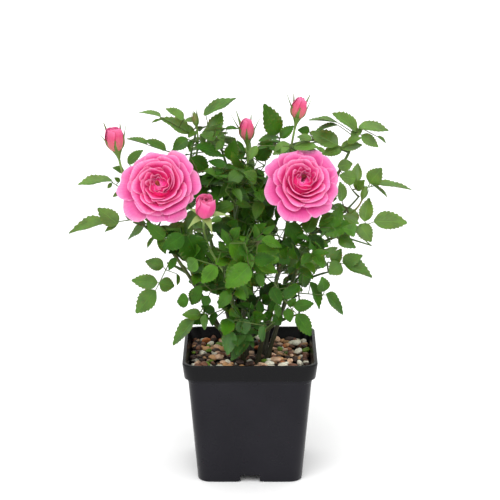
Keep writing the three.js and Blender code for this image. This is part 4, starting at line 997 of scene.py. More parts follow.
def add_sheet(pile, surface, thickness, look=0):
    """A closed thin body over a grid of points. thickness is one number, or a table of one a point."""
    rows, columns = surface.shape[:2]
    normals = np.cross(np.gradient(surface, axis=1), np.gradient(surface, axis=0))
    normals /= np.maximum(np.linalg.norm(normals, axis=2), TINY)[..., None]
    half = np.broadcast_to(thickness, (rows, columns))[..., None] / 2
    v, u = np.meshgrid(np.linspace(0, 1, rows), np.linspace(0, 1, columns), indexing="ij")
    coords = np.stack((u, v), -1)
    count = rows * columns
    upper = grid_faces(rows, columns)
    lower = [tuple(i + count for i in face[::-1]) for face in upper]
    rim = list(range(columns))
    rim += [r * columns + columns - 1 for r in range(1, rows)]
    rim += [(rows - 1) * columns + c for c in range(columns - 2, -1, -1)]
    rim += [r * columns for r in range(rows - 2, 0, -1)]
    walls = [(i, i + count, j + count, j) for i, j in zip(rim, rim[1:] + rim[:1])]
    points = np.concatenate((surface + normals * half, surface - normals * half))
    pile.add(points, upper + lower + walls, look, np.concatenate((coords, coords)))


# Materials


def linear(red, green, blue):
    """A colour given as sRGB bytes, in linear light with alpha."""
    share = (c / 255 for c in (red, green, blue))
    return (*(c / 12.92 if c <= 0.04045 else ((c + 0.055) / 1.055) ** 2.4 for c in share), 1.0)


class Look:
    """A material with one Principled shader, and short ways to make the nodes before it."""

    def __init__(self, name, roughness, specular=0.5, sheen=0.0):
        self.material = bpy.data.materials.new(name)
        self.material.use_nodes = True
        self.tree = self.material.node_tree
        self.shader = self.tree.nodes["Principled BSDF"]
        self.shader.inputs["Roughness"].default_value = roughness
        self.shader.inputs["Specular IOR Level"].default_value = specular
        self.shader.inputs["Sheen Weight"].default_value = sheen

    def node(self, kind, inputs, **settings):
        made = self.tree.nodes.new(kind)
        for name, value in settings.items():
            setattr(made, name, value)
        for key, value in inputs.items():
            self.give(made.inputs[key], value)
        return made

    def give(self, socket, value):
        if isinstance(value, bpy.types.NodeSocket):
            self.tree.links.new(value, socket)
        else:
            socket.default_value = value

    def math(self, operation, *values):
        return self.node("ShaderNodeMath", dict(enumerate(values)), operation=operation).outputs[0]

    def mix(self, share, first, second, most=None):
        """From the first colour to the second by the share, or by that share of the most."""
        if most is not None:
            share = self.math("MULTIPLY", share, most)
        made = self.node("ShaderNodeMix", {}, data_type="RGBA", blend_type="MIX")
        for socket, value in zip((made.inputs[0], made.inputs[6], made.inputs[7]), (share, first, second)):
            self.give(socket, value)
        return made.outputs[2]

    def place(self):
        return self.node("ShaderNodeTexCoord", {}).outputs["Object"]

    def noise(self, scale, detail=2.0, vector=None):
        inputs = {"Vector": vector or self.place(), "Scale": scale, "Detail": detail}
        return self.node("ShaderNodeTexNoise", inputs).outputs["Fac"]

    def spread(self, value, low, high):
        """The value's range from low to high, stretched over 0 to 1."""
        inputs = {"Value": value, "From Min": low, "From Max": high}
        return self.node("ShaderNodeMapRange", inputs).outputs["Result"]

    def height(self, low, high):
        """0 at the low height over the ground, 1 at the high one."""
        parts = self.node("ShaderNodeSeparateXYZ", {"Vector": self.place()})
        return self.spread(parts.outputs["Z"], low * MM, high * MM)

    def grid(self):
        """The two coordinates over a leaf or petal: across it and along it."""
        coords = self.node("ShaderNodeUVMap", {}, uv_map="UVMap").outputs["UV"]
        parts = self.node("ShaderNodeSeparateXYZ", {"Vector": coords})
        return coords, parts.outputs["X"], parts.outputs["Y"]

    def ramp(self, share, *stops):
        made = self.node("ShaderNodeValToRGB", {"Fac": share})
        elements = made.color_ramp.elements
        while len(elements) < len(stops):
            elements.new(0.5)
        for element, (position, colour) in zip(elements, stops):
            element.position = position
            element.color = colour
        return made.outputs["Color"]

    def scatter(self, weight, scale):
        self.shader.inputs["Subsurface Weight"].default_value = weight
        self.shader.inputs["Subsurface Scale"].default_value = scale

    def finish(self, colour, height=None, depth=0.0003, strength=0.6):
        self.give(self.shader.inputs["Base Color"], colour)
        if height is not None:
            bump = self.node("ShaderNodeBump", {"Height": height, "Distance": depth, "Strength": strength})
            self.give(self.shader.inputs["Normal"], bump.outputs["Normal"])
        return self.material


def scaled(colour, factor):
    return (*(min(1.0, c * factor) for c in colour[:3]), 1.0)


# The two sides of a leaf: roughness, how pale the veins are, how plain they show, and which way they rise
LEAF_FACE = {"roughness": 0.4, "pale": 1.75, "veins": 0.4, "rise": -1.0}
LEAF_BACK = {"roughness": 0.65, "pale": 1.5, "veins": 0.5, "rise": 1.0}
# The midrib's half width, the count and slant of the side veins, and how dark and light the patches are
LEAF_SKIN = {"midrib": (0.035, 0.012), "veins": 44.0, "slant": 40.0, "crest": 0.86, "fine": 0.45,
             "patches": (0.76, 1.24)}
# Petals: the colour at the foot, in the middle and at the rim, as sRGB bytes. The deep foot is partly the
# petal's own colour and partly painted shade under the petals that overhang it; the pale rim is a painted
# highlight where the rim catches the light
PETAL_COLOURS = {
    "petal_outer": ((214, 46, 126), (232, 84, 154), (248, 144, 198)),
    "petal_middle": ((224, 24, 116), (242, 66, 148), (252, 154, 204)),
    "petal_inner": ((240, 50, 136), (248, 70, 154), (255, 158, 208)),
    "petal_heart": ((242, 92, 148), (248, 112, 168), (255, 160, 204)),
    "eye_red": ((90, 22, 14), (140, 44, 28), (214, 120, 80)),
    "eye_dark": ((60, 6, 18), (90, 12, 30), (140, 44, 40)),
    "bud_petal": ((196, 110, 104), (222, 66, 116), (240, 112, 160)),
    "bud_petal_red": ((226, 92, 136), (232, 64, 132), (246, 124, 174)),
    "bud_petal_inner": ((214, 44, 100), (230, 60, 124), (242, 104, 156)),
}
# Where along a petal its colours stand, and where along the broad outer ones, which keep the deep colour
# further out as painted shade where they come out from under the rosette
PETAL_STOPS = (0.2, 0.72, 0.92, 0.98)
BROAD_SHADED_STOPS = (0.55, 0.84, 0.95, 0.99)
# How far the third colour is from the middle's to the rim's, towards the painted highlight of the rim
RIM_HIGHLIGHT_BLEND = 0.6
STREAKS = {"size": (34.0, 2.5, 1.0), "range": (0.4, 0.7), "shade": 0.36}
# Barks: the green, the brown, how far the brown spreads, and the roughness
BARKS = {
    "cane_bark": ((78, 104, 42), (96, 76, 44), 0.04, 0.5),
    "prickle": ((134, 92, 62), (122, 60, 44), 0.02, 0.5),
    "twig_bark": ((60, 86, 26), (62, 52, 30), 0.0, 0.5),
    "leaf_stalk": ((74, 98, 34), (76, 58, 36), 0.0, 0.5),
    "flower_stem": ((110, 140, 66), (122, 92, 58), -0.04, 0.5),
    "calyx_green": ((88, 118, 42), (128, 100, 62), -0.02, 0.55),
    "sepal_pale": ((134, 156, 88), (158, 140, 100), -0.05, 0.6),
}
# Painted shade on the canes: darker from this height down to the gravel
SHADED_FOOT = {"colour": (40, 40, 20), "from": GRAVEL_TOP + 10, "to": GRAVEL_TOP + 110}
# Painted shade: the stones turn black from this height down, in the gaps between them
GAP_SHADE = {"colour": (6, 4, 3), "from": GRAVEL_TOP + 0.1, "to": GRAVEL_TOP + 2.9}
# The plastic: its plain and dusty tones and how much dust, and the painted shade of the rim band with how
# strongly it shows
PLASTIC = {"plain": (22, 21, 27), "dusty": (33, 32, 38), "dust": 0.5, "band": (6, 6, 7), "band_shade_share": 0.9}
# The potting mix: near black, partly its own dark colour and partly painted shade in the gaps between the
# stones
SOIL_AND_SHADE = ((6, 4, 3), (18, 13, 10))


def leaf_look(name, colour, gloss, side):
    """Leaf skin: a pale midrib and side veins that rise between quilted fields."""
    look = Look(name, side["roughness"], specular=gloss)
    _, u, v = look.grid()
    across = look.math("ABSOLUTE", look.math("SUBTRACT", u, 0.5))
    midrib = look.spread(across, *LEAF_SKIN["midrib"])
    along = look.math("MULTIPLY", v, LEAF_SKIN["veins"])
    slant = look.math("SUBTRACT", along, look.math("MULTIPLY", across, LEAF_SKIN["slant"]))
    veins = look.spread(look.math("SINE", slant), LEAF_SKIN["crest"], 1.0)
    lines = look.math("MAXIMUM", midrib, look.math("MULTIPLY", veins, LEAF_SKIN["fine"]))
    patches = look.spread(look.noise(90.0, 3.0), 0.35, 0.65)
    skin = look.mix(patches, *(scaled(colour, factor) for factor in LEAF_SKIN["patches"]))
    tinted = look.mix(lines, skin, scaled(colour, side["pale"]), side["veins"])
    grain = look.math("MULTIPLY", look.noise(700.0), 0.4)
    look.scatter(0.08, 0.001)
    height = look.math("ADD", look.math("MULTIPLY", lines, side["rise"]), grain)
    return look.finish(tinted, height, 0.00035, 0.5)


def petal_look(name):
    """Petal skin: deep at its foot, partly its own colour and partly painted shade, pale at its rim as a
    painted highlight, with fine streaks along it.
    """
    look = Look(name, 0.62, specular=0.15, sheen=0.06)
    stops = BROAD_SHADED_STOPS if name == "petal_outer" else PETAL_STOPS
    deep, middle, rim = (linear(*colour) for colour in PETAL_COLOURS[name])
    painted_rim_blend = tuple(lerp(a, b, RIM_HIGHLIGHT_BLEND) for a, b in zip(middle, rim))
    coords, _, v = look.grid()
    stretched = look.node("ShaderNodeVectorMath", {0: coords, 1: STREAKS["size"]}, operation="MULTIPLY")
    streaks = look.noise(1.0, 3.0, stretched.outputs["Vector"])
    # Painted shade deepens the foot and a painted highlight lightens the rim
    colour = look.ramp(v, *zip(stops, (deep, middle, painted_rim_blend, rim)))
    colour = look.mix(look.spread(streaks, *STREAKS["range"]), colour, deep, STREAKS["shade"])
    look.scatter(0.3, 0.004)
    look.shader.inputs["Subsurface Radius"].default_value = (1.0, 0.35, 0.5)
    height = look.math("ADD", streaks, look.math("MULTIPLY", look.noise(120.0), 1.5))
    return look.finish(colour, height, 0.0004, 0.5)


def bark_look(name, shaded_foot=False):
    """Rose bark: green with brownish patches and fine lengthwise relief, and on the canes darker towards the
    gravel, painted shade.
    """
    green, brown, share, roughness = BARKS[name]
    green, brown = linear(*green), linear(*brown)
    look = Look(name, roughness, specular=0.4)
    colour = look.mix(look.spread(look.noise(45.0, 4.0), 0.5 - share, 0.75 - share), green, brown)
    specks = look.spread(look.noise(500.0, 2.0), 0.55, 0.75)
    colour = look.mix(specks, colour, scaled(brown, 0.6), 0.3)
    if shaded_foot:
        # Painted shade: fresh is the unshaded part above, and the canes darken below it towards the gravel
        fresh = look.height(SHADED_FOOT["from"], SHADED_FOOT["to"])
        colour = look.mix(fresh, linear(*SHADED_FOOT["colour"]), colour)
    return look.finish(colour, look.noise(900.0, 4.0), 0.0003, 0.6)


def stone_look(name, colour):
    """Stone with clouds and specks, black low down between its neighbours as painted shade in the gaps of the
    gravel.
    """
    look = Look(name, 0.6, specular=0.45)
    clouds = look.spread(look.noise(160.0, 4.0), 0.3, 0.7)
    tinted = look.mix(clouds, scaled(colour, 0.72), scaled(colour, 1.2))
    specks = look.spread(look.noise(1400.0, 2.0), 0.58, 0.7)
    tinted = look.mix(specks, tinted, scaled(colour, 0.4), 0.35)
    # Painted shade: black low down between the stones
    tinted = look.mix(look.height(GAP_SHADE["from"], GAP_SHADE["to"]), linear(*GAP_SHADE["colour"]), tinted)
    return look.finish(tinted, look.noise(900.0, 5.0), 0.0004, 0.5)


def plastic_look():
    """Moulded black plastic: faint clouds of dust, a fine pebbled grain, and the rim band painted darker as
    painted shade.
    """
    look = Look("pot_plastic", 0.3, specular=0.16)
    clouds = look.spread(look.noise(22.0, 5.0), 0.42, 0.75)
    colour = look.mix(clouds, linear(*PLASTIC["plain"]), linear(*PLASTIC["dusty"]), PLASTIC["dust"])
    # Painted shade: the rim band darker than the body
    band = look.height(BAND_FOOT - 0.5, BAND_FOOT + 1.5)
    colour = look.mix(band, colour, linear(*PLASTIC["band"]), PLASTIC["band_shade_share"])
    gloss = look.math("ADD", look.math("MULTIPLY", look.noise(60.0, 4.0), 0.18), 0.2)
    look.give(look.shader.inputs["Roughness"], gloss)
    return look.finish(colour, look.noise(1500.0, 3.0), 0.0002, 0.35)


# The potting mix under the stones, painted near black: its own dark colour and painted shade in the gaps
def soil_and_shade_look():
    look = Look("soil_and_shade", 0.95, specular=0.2)
    colour = look.mix(look.noise(300.0, 5.0), *(linear(*colour) for colour in SOIL_AND_SHADE))
    return look.finish(colour, look.noise(400.0, 5.0), 0.0015, 1.0)


# The pot

# Faces of the pot that meet at more degrees than this show an edge
POT_CREASE = 28


def rounded_square(half, radius, z, steps=10):
    inner = half - radius
    points = []
    for corner in range(4):
        start = corner * math.pi / 2
        middle = (inner * math.copysign(1, math.cos(start + math.pi / 4)),
                  inner * math.copysign(1, math.sin(start + math.pi / 4)))
        for i in range(steps + 1):
            angle = start + i * math.pi / 2 / steps
            points.append((middle[0] + radius * math.cos(angle), middle[1] + radius * math.sin(angle), z))
    return points


def outer_half(z):
    return lerp(FOOT_HALF, BODY_TOP_HALF, z / BAND_FOOT)


def inner_half(z):
    if z <= BAND_FOOT:
        return outer_half(z) - WALL
    return lerp(outer_half(BAND_FOOT) - WALL, RIM_HALF - LIP, (z - BAND_FOOT) / RIM_BAND)


def pot_profile():
    """From the foot up the outside, over the rim and down the inside: half widths and heights."""
    band = RIM_HALF - BAND_DRAFT
    ridge = outer_half(BAND_FOOT) + RIDGE
    outside = [
        (FOOT_HALF - 1.2, 0), (FOOT_HALF - 0.5, 0.15), (FOOT_HALF - 0.1, 0.6), (outer_half(1.4), 1.4),
        (outer_half(RIDGE_FOOT), RIDGE_FOOT), (outer_half(RIDGE_FOOT) + RIDGE, RIDGE_FOOT + 0.5),
        (ridge, BAND_FOOT), (band - 1.0, BAND_FOOT + 0.3), (band - 0.3, BAND_FOOT + 0.7),
        (band, BAND_FOOT + 1.5), (RIM_HALF - 0.1, POT_HEIGHT - 1.3),
    ]
    rim = [(RIM_HALF - inset, POT_HEIGHT - below) for inset, below in (
        (0.15, 0.7), (0.45, 0.2), (0.9, 0), (LIP - 0.8, 0), (LIP - 0.25, 0.3), (LIP, 0.9))]
    inside = [(inner_half(z), z) for z in (BAND_FOOT + 2, BAND_FOOT - 2, FLOOR + 1)]
    return outside, rim, inside + [(inner_half(FLOOR) - 1, FLOOR)]


def box_solid(pile, low, high):
    x, y, z = ((low[i], high[i]) for i in range(3))
    points = [(x[i & 1], y[i >> 1 & 1], z[i >> 2]) for i in range(8)]
    pile.add(points, [(0, 2, 3, 1), (4, 5, 7, 6), (0, 1, 5, 4), (2, 6, 7, 3), (0, 4, 6, 2), (1, 3, 7, 5)])


def drain_cutters():
    """At the foot of each wall, a recess under the floor with a low arch on both sides of it."""
    overlap = 2
    half, steps = DRAIN["width"] / 2, 32
    recess, arch = Pile(), Pile()
    low = (-half, -FOOT_HALF - overlap, -DRAIN["height"])
    box_solid(recess, low, (half, -FOOT_HALF + DRAIN["depth"], DRAIN["height"]))
    angles = np.linspace(0, 2 * math.pi, steps, endpoint=False)
    x, z = DRAIN["arch_width"] / 2 * np.cos(angles), DRAIN["arch_height"] * np.sin(angles)
    reach = DRAIN["arch_depth"] / 2
    rings = [np.stack((x, np.full(steps, -FOOT_HALF + y), z), -1) for y in (reach, -reach)]
    arch.add(np.concatenate(rings), tube_faces(2, steps))
    cutters = []
    for side in range(4):
        for name, shape in (("recess", recess), ("arch", arch)):
            cutter = shape.object(f"cutter_{name}_{side}", [])
            cutter.rotation_euler.z = side * math.pi / 2
            cutters.append(cutter)
    return cutters


def cut(target, cutters):
    """Cuts the cutters out of the target for good, and drops them."""
    bpy.context.view_layer.update()
    for cutter in cutters:
        modifier = target.modifiers.new(cutter.name, "BOOLEAN")
        modifier.object = cutter
        modifier.solver = "EXACT"
    evaluated = target.evaluated_get(bpy.context.evaluated_depsgraph_get())
    mesh = bpy.data.meshes.new_from_object(evaluated)
    target.modifiers.clear()
    target.data = mesh
    for cutter in cutters:
        bpy.data.objects.remove(cutter)
    mesh.set_sharp_from_angle(angle=math.radians(POT_CREASE))


def make_pot():
    outside, rim, inside = pot_profile()
    rings = [rounded_square(half, CORNER_RADIUS, z) for half, z in outside + rim]
    rings += [rounded_square(half, CORNER_RADIUS - WALL, z) for half, z in inside]
    pile = Pile()
    pile.add(np.array(rings), tube_faces(len(rings), len(rings[0])))
    pot = pile.object("pot_body", [plastic_look()], POT_CREASE)
    cut(pot, drain_cutters())
    dress(pot, ["pot"])


# The gravel: each stone's colour and how common it is

STONES = (
    ("brown", (126, 84, 62), 28), ("dark", (62, 44, 36), 18), ("tan", (216, 164, 112), 15),
    ("beige", (236, 194, 160), 15), ("cream", (255, 242, 216), 15), ("rust", (206, 120, 60), 5),
    ("moss", (104, 138, 34), 4),
)
STONE_LAYERS = 2
# How far apart stones lie in a row, how far apart the rows are against that, and how far a stone strays
STONE_SPACING = 6.5
ROW_SHARE = 0.9
STONE_JITTER = 1.8
# A stone's least and greatest radius, and how much it is drawn out along its three axes
STONE_RADIUS = (1.9, 3.7)
STONE_SHAPE = ((1.0, 1.5), (0.7, 1.0), (0.55, 0.85))
# How clear of a cane's middle the stones keep
CANE_ROOM = 2.2
SOIL_TOP = GRAVEL_TOP - 1.6


def ball_template():
    made = bmesh.new()
    bmesh.ops.create_icosphere(made, subdivisions=3, radius=1)
    points = np.array([v.co for v in made.verts])
    faces = [tuple(v.index for v in face.verts) for face in made.faces]
    made.free()
    return points, faces


def pebble(sphere, size, shape, wave, tilt, spin):
    """The ball, drawn out, dented by slow waves, and turned."""
    swell = 1 + 0.15 * np.sin(sphere @ wave + spin) + 0.1 * np.sin(sphere @ wave[::-1] * 2.1)
    swell -= 0.16 * np.maximum(0, sphere @ unit(wave) - 0.45)
    points = sphere * swell[:, None] * shape * size
    return points @ rotation((1, 0, 0), tilt).T @ rotation((0, 0, 1), spin).T


def make_gravel():
    sphere, faces = ball_template()
    roll = dice(SEEDS["gravel"])
    weights = np.cumsum([share for _, _, share in STONES])
    pile = Pile()
    reach = inner_half(GRAVEL_TOP) - 0.6
    rows = math.ceil(reach / (ROW_SHARE * STONE_SPACING))
    cane_feet = np.array([foot for foot, _ in CANES.values()], float)
    places = itertools.product(range(STONE_LAYERS), range(-rows, rows + 1), range(-rows, rows + 1))
    for layer, row, column in places:
        offset = 0.5 * ((row + layer) % 2)
        x = (column + offset) * STONE_SPACING + roll(-STONE_JITTER, STONE_JITTER)
        y = row * STONE_SPACING * ROW_SHARE + layer * 2.5 + roll(-STONE_JITTER, STONE_JITTER)
        size = roll(*STONE_RADIUS)
        room = reach - size * roll(0.8, 1.2)
        chosen = int(np.searchsorted(weights, roll(0, weights[-1])))
        shape = np.array([roll(*limits) for limits in STONE_SHAPE])
        wave, tilt, spin = vector([roll(-2.5, 2.5) for _ in range(3)]), roll(-0.5, 0.5), roll(0, FULL_TURN)
        lift = roll(-1.2, 1.4) + layer * roll(0.8, 2.8)
        skipped = layer == 1 and roll(0, 1) < 0.5
        near_cane = (squares(cane_feet, (x, y)) < (size + CANE_ROOM) ** 2).any()
        if max(abs(x), abs(y)) > room + 0.7 * STONE_SPACING or skipped or near_cane:
            continue
        x, y = (min(room, max(-room, v)) for v in (x, y))
        points = pebble(sphere, size, shape, wave, tilt, spin)
        pile.add(points + (x, y, GRAVEL_TOP + lift), faces, chosen)
    looks = [stone_look("pebble_" + name, linear(*colour)) for name, colour, _ in STONES]
    dress(pile.object("gravel_pebbles", looks), ["gravel_bed"])
    # The potting mix under the stones, near black, partly painted shade in the gaps
    bed = Pile()
    heights = (FLOOR + GAP, BAND_FOOT, SOIL_TOP)
    rings = [rounded_square(inner_half(z) - GAP, CORNER_RADIUS - WALL, z) for z in heights]
    bed.add(np.array(rings), tube_faces(len(rings), len(rings[0])))
    dress(bed.object("potting_mix", [soil_and_shade_look()]))


# Leaves

# The teeth on each side of a leaflet, and its lines of points across, in shares of the half width
TEETH = 8
LEAF_ACROSS = (-1.0, -0.55, 0.0, 0.55, 1.0)
LEAF_THICKNESS = 0.22
# A leaflet's outline, as powers of the way from its foot and from its tip, and its teeth: how deep they are
# notched, and how far each leans to the tip and the notch to the foot
OUTLINE = {"foot": 0.66, "tip": 1.02, "overrun": 0.01}
TOOTH = {"notch": 0.88, "ahead": 0.35, "back": 0.2}
# How leaflets vary: the width in shares of itself, the twist in radians, the rest in shares of the length
LEAFLET = {"width": (0.92, 1.1), "fold": (0.06, 0.18), "arch": (0.03, 0.15), "twist": 0.25,
           "wave": (0.008, 0.03), "quilt": 0.012, "drift": 0.05}
# The greens as sRGB bytes, and how they shine. Away from the front, where chance picks them, they are picked
# by where a leaf lies, as painted light and shade
TINTS = {
    "dark": (26, 56, 8),
    "deep": (42, 84, 12),
    "mid": (54, 98, 14),
    "bright": (66, 105, 25),
    "lightest": (80, 116, 34),
    "fresh": (64, 110, 16),
    "low": (54, 92, 34),
}
TINT_GLOSS = {"dark": 0.1, "deep": 0.14, "mid": 0.2, "bright": 0.38, "lightest": 0.45, "fresh": 0.22,
              "low": 0.3}
BACK_GREY = {"colour": (104, 124, 98), "share": 0.38}
# Where the low green lies, painted shade among the canes, and the others by how far out a leaf's tip is,
# darker further in as painted shade and lighter further out and up as painted light, and, at the front, by
# chance
LOW_SHADE = {"reach": 40, "height": 128}
OUT_TINTS = ((1.2, "lightest"), (0.85, "bright"), (0.5, "mid"), (0.2, "deep"))
OUT_REACH = {"across": 130, "deep": 110, "foot": 110, "up": 220, "whole": 1.6}
OUT_VARIES = {"within": (-0.32, 0.42), "beyond": (0.12, 0.38)}
FRONT_TINTS = ((0.12, "fresh"), (0.55, "mid"), (0.9, "deep"))
# The short stalk of a leaflet: the least gap that it spans, the steps of the search for its foot, its radii
PETIOLULE = {"from": 1, "steps": 12, "radii": (0.42, 0.34)}
STALK_TIP = {"radius": 0.34, "overlap": 0.05}
# The knots on a mass's stem: one in so many rings, how thick it is, and the length from ring to ring
KNOT = {"every": 5, "swell": 1.16, "ring": 3}


class LeafletShape:
    """The serrated outline that all leaflets share, in shares of the length and half width."""

    def __init__(self):
        rows = 2 * TEETH + 1
        self.columns = len(LEAF_ACROSS)
        t = np.linspace(0.0, 1.0, rows)
        overrun = OUTLINE["overrun"]
        profile = (t + overrun) ** OUTLINE["foot"] * (1 + overrun - t) ** OUTLINE["tip"]
        profile /= profile.max()
        across = np.array(LEAF_ACROSS)
        tooth = np.arange(rows) % 2 == 1
        edge = np.abs(across) == 1
        width = np.where(tooth, 1.0, TOOTH["notch"])[:, None] * edge + ~edge
        ahead = np.where(tooth, TOOTH["ahead"], -TOOTH["back"])[:, None] * edge / rows
        self.t = np.clip(t[:, None] + ahead, 0, 1 + overrun)
        self.s = across[None] * profile[:, None] * width
        self.u = np.broadcast_to((across[None] + 1) / 2, self.t.shape)
        self.across = np.broadcast_to(across[None], self.t.shape)
        self.profile = np.broadcast_to(profile[:, None], self.t.shape)
        inner = np.zeros(self.t.shape, bool)
        inner[1:-1, 1:-1] = True
        self.inner = inner.ravel()
        count = self.t.size
        under = np.arange(count)
        under[self.inner] = count + np.arange(self.inner.sum())
        top = grid_faces(rows, self.columns)
        self.faces = top + [tuple(int(under[i]) for i in face[::-1]) for face in top]
        self.looks = [0] * len(top) + [1] * len(top)

    def build(self, pile, blade, roll):
        """One leaflet: folded along its midrib, arched, quilted and a little wavy at its edge."""
        size = blade.length
        half = size * blade.wide * LEAFLET_WIDTH / 2 * roll(*LEAFLET["width"])
        fold, arch = size * roll(*LEAFLET["fold"]), size * roll(*LEAFLET["arch"])
        twist = roll(-LEAFLET["twist"], LEAFLET["twist"])
        wave, phase = size * roll(*LEAFLET["wave"]), roll(0, FULL_TURN)
        t, s, edge = self.t, self.s, np.abs(self.across)
        rise = fold * np.abs(s) ** 1.2 - arch * (t ** 2 - 0.3 * t) - 0.35 * arch * s ** 2
        rise += wave * edge ** 2 * self.profile * np.sin(9 * t + phase + 1.5 * self.across)
        quilted = (edge > 0) * (edge < 1) * self.profile
        rise += LEAFLET["quilt"] * size * np.sin(44 * t - 20 * edge) * quilted
        rise += twist * s * half * t
        face = turned_about(blade.face, blade.direction, roll(-blade.sway, blade.sway))
        side = np.cross(blade.direction, face)
        drift = roll(-LEAFLET["drift"], LEAFLET["drift"]) * size * t ** 2
        points = (
            blade.foot
            + (t * size)[..., None] * blade.direction
            + (s * half + drift)[..., None] * side
            + rise[..., None] * face
        ).reshape(-1, 3)
        coords = np.stack((self.u, t), -1).reshape(-1, 2)
        below = points[self.inner] - face * LEAF_THICKNESS
        pile.add(np.concatenate((points, below)), self.faces, self.looks,
                 np.concatenate((coords, coords[self.inner])))


def tint_of(leaf, roll):
    """One green low among the canes as painted shade, fresh to dark by chance at the front, and else darker
    further in as painted shade and lighter further out as painted light.
    """
    tip = leaf.terminal.tip
    # Painted shade: the low green among the canes
    if tip[2] < LOW_SHADE["height"] and abs(tip[0]) < LOW_SHADE["reach"]:
        return "low"
    if tip[1] < FRONT_DEPTH:
        foremost = isinstance(leaf, Spray) and leaf.foot[1] < FOREMOST
        chance = 0 if foremost else roll(0, 1)
        return next((tint for limit, tint in FRONT_TINTS if chance < limit), "dark")
    # Painted light and shade: darker further into the crown, lighter further out and higher up
    across, deep = abs(tip[0]) / OUT_REACH["across"], abs(tip[1]) / OUT_REACH["deep"]
    out = (across + deep + (tip[2] - OUT_REACH["foot"]) / OUT_REACH["up"]) / OUT_REACH["whole"]
    out += roll(*OUT_VARIES["within" if inside_crown(*seen(tip)) else "beyond"])
    return next((tint for limit, tint in OUT_TINTS if out > limit), "dark")


def curve_points(low, high, sag, steps):
    """A line of points from low to high that bows by the sag."""
    t = np.linspace(0, 1, steps)[:, None]
    return low + (high - low) * t + sag * 4 * t * (1 - t)


def petiolule(pile, leaf, blade):
    """The short stalk of a leaflet whose foot stands off the leaf's own stalk."""
    line = [lerp(leaf.foot, leaf.end, share) for share in np.linspace(0, 1, PETIOLULE["steps"])]
    near = min(line, key=lambda point: distance(point, blade.foot))
    if distance(near, blade.foot) > PETIOLULE["from"]:
        points = curve_points(near, blade.foot, leaf.normal * 0.2, 4)
        add_tube(pile, points, np.linspace(*PETIOLULE["radii"], len(points)), 6)


def top_carried(stem, feet):
    """How far up a stem the last twig or leaf grows on it."""
    lowest = 0.05
    shares = np.linspace(1, lowest, 40)
    return next((share for share in shares if squares(feet, stem.point(share)).min() < 1), lowest)


def add_twigs(pile, growths, sprays, roll):
    """The stem of each mass as far up as it carries anything, and the twigs."""
    feet = [leaf.foot for growth in growths for leaf in growth.leaves]
    feet += [low for growth in growths for low, _ in growth.twigs + growth.fine_twigs]
    feet = np.array(feet + [spray.host for spray in sprays])
    for name in MASSES:
        stem = limbs[name]
        top = top_carried(stem, feet)
        shares = np.linspace(0, top, max(4, math.ceil(stem.length() * top / KNOT["ring"])) + 1)
        swells = [KNOT["swell"] if i % KNOT["every"] == 2 else 1 for i in range(len(shares))]
        radii = [stem.radius(t) * swell for t, swell in zip(shares, swells)]
        add_tube(pile, [stem.point(t) for t in shares], radii, 8)
    for growth in growths:
        for twigs, radius in ((growth.twigs, TWIG_TIP_RADIUS), (growth.fine_twigs, FINE_TWIG_RADIUS)):
            for low, high in twigs:
                sag = vector([roll(-0.6, 0.6) for _ in range(3)])
                add_tube(pile, curve_points(low, high, sag, 6), np.linspace(1.15, 0.85, 6) * radius, 7)
    for spray in sprays:
        sag = vector([roll(-1.5, 1.5) for _ in range(3)])
        add_tube(pile, curve_points(spray.host, spray.foot, sag, 8), np.linspace(0.9, 0.6, 8), 7)


def make_foliage(growths, sprays):
    roll = dice(SEEDS["foliage"])
    shape = LeafletShape()
    leaves = {tint: Pile() for tint in TINTS}
    stalks, twigs = Pile(), Pile()
    add_twigs(twigs, growths, sprays, roll)
    for leaf in [leaf for growth in growths for leaf in growth.leaves] + sprays:
        tint = tint_of(leaf, roll)
        reach = leaf.end + (leaf.terminal.tip - leaf.end) * STALK_TIP["overlap"]
        line = curve_points(leaf.foot, reach, leaf.normal * -0.35, 5)
        add_tube(stalks, line, np.linspace(LEAF_STALK_RADIUS, STALK_TIP["radius"], len(line)), 6)
        for blade in (leaf.terminal, *leaf.sides):
            shape.build(leaves[tint], blade, roll)
            petiolule(stalks, leaf, blade)
    nodes = list(MASSES)
    share = BACK_GREY["share"]
    for tint, pile in leaves.items():
        grey = (lerp(c, g, share) for c, g in zip(TINTS[tint], BACK_GREY["colour"]))
        gloss = TINT_GLOSS[tint]
        looks = [leaf_look("leaf_" + tint, linear(*TINTS[tint]), gloss, LEAF_FACE),
                 leaf_look("leaf_under_" + tint, linear(*grey), gloss / 2, LEAF_BACK)]
        dress(pile.object("leaves_" + tint, looks), nodes)
        nodes = []
    dress(stalks.object("leaf_stalks", [bark_look("leaf_stalk")]))
    dress(twigs.object("twigs", [bark_look("twig_bark")]))


# Canes, boughs and flower stems

# How deep a cane is sunk in the gravel, and another limb in what it grows from
FOOT_SUNK = 2.5
FORK_SUNK = 1.0
KNOT_SPACING = 15
THORN_SIZE = (1.7, 2.8)
# The chance of a prickle on each ring of a cane
THORNS = 0.085


def limb_line(limb, step, before, after):
    """Points along a limb, carried on past both ends, with the radius at each."""
    shares = np.linspace(0, 1, max(6, math.ceil(limb.length() / step)) + 1)
    radii = [limb.radius(t) for t in shares]
    first, last = limb.start - limb.tangent(0) * before, limb.end + limb.tangent(1) * after
    return np.array([first, *map(limb.point, shares), last]), np.array([radii[0], *radii, radii[-1]])


def add_thorn(pile, foot, outwards, down, size):
    """A short hooked prickle with a broad base."""
    along = ((-0.4 / size, 0), (0.35, 0), (0.75, 0.12), (1, 0.4))
    line = [foot + outwards * out * size + down * drop * size for out, drop in along]
    add_tube(pile, line, size * np.array((0.3, 0.2, 0.1, 0.02)), 6, 1)


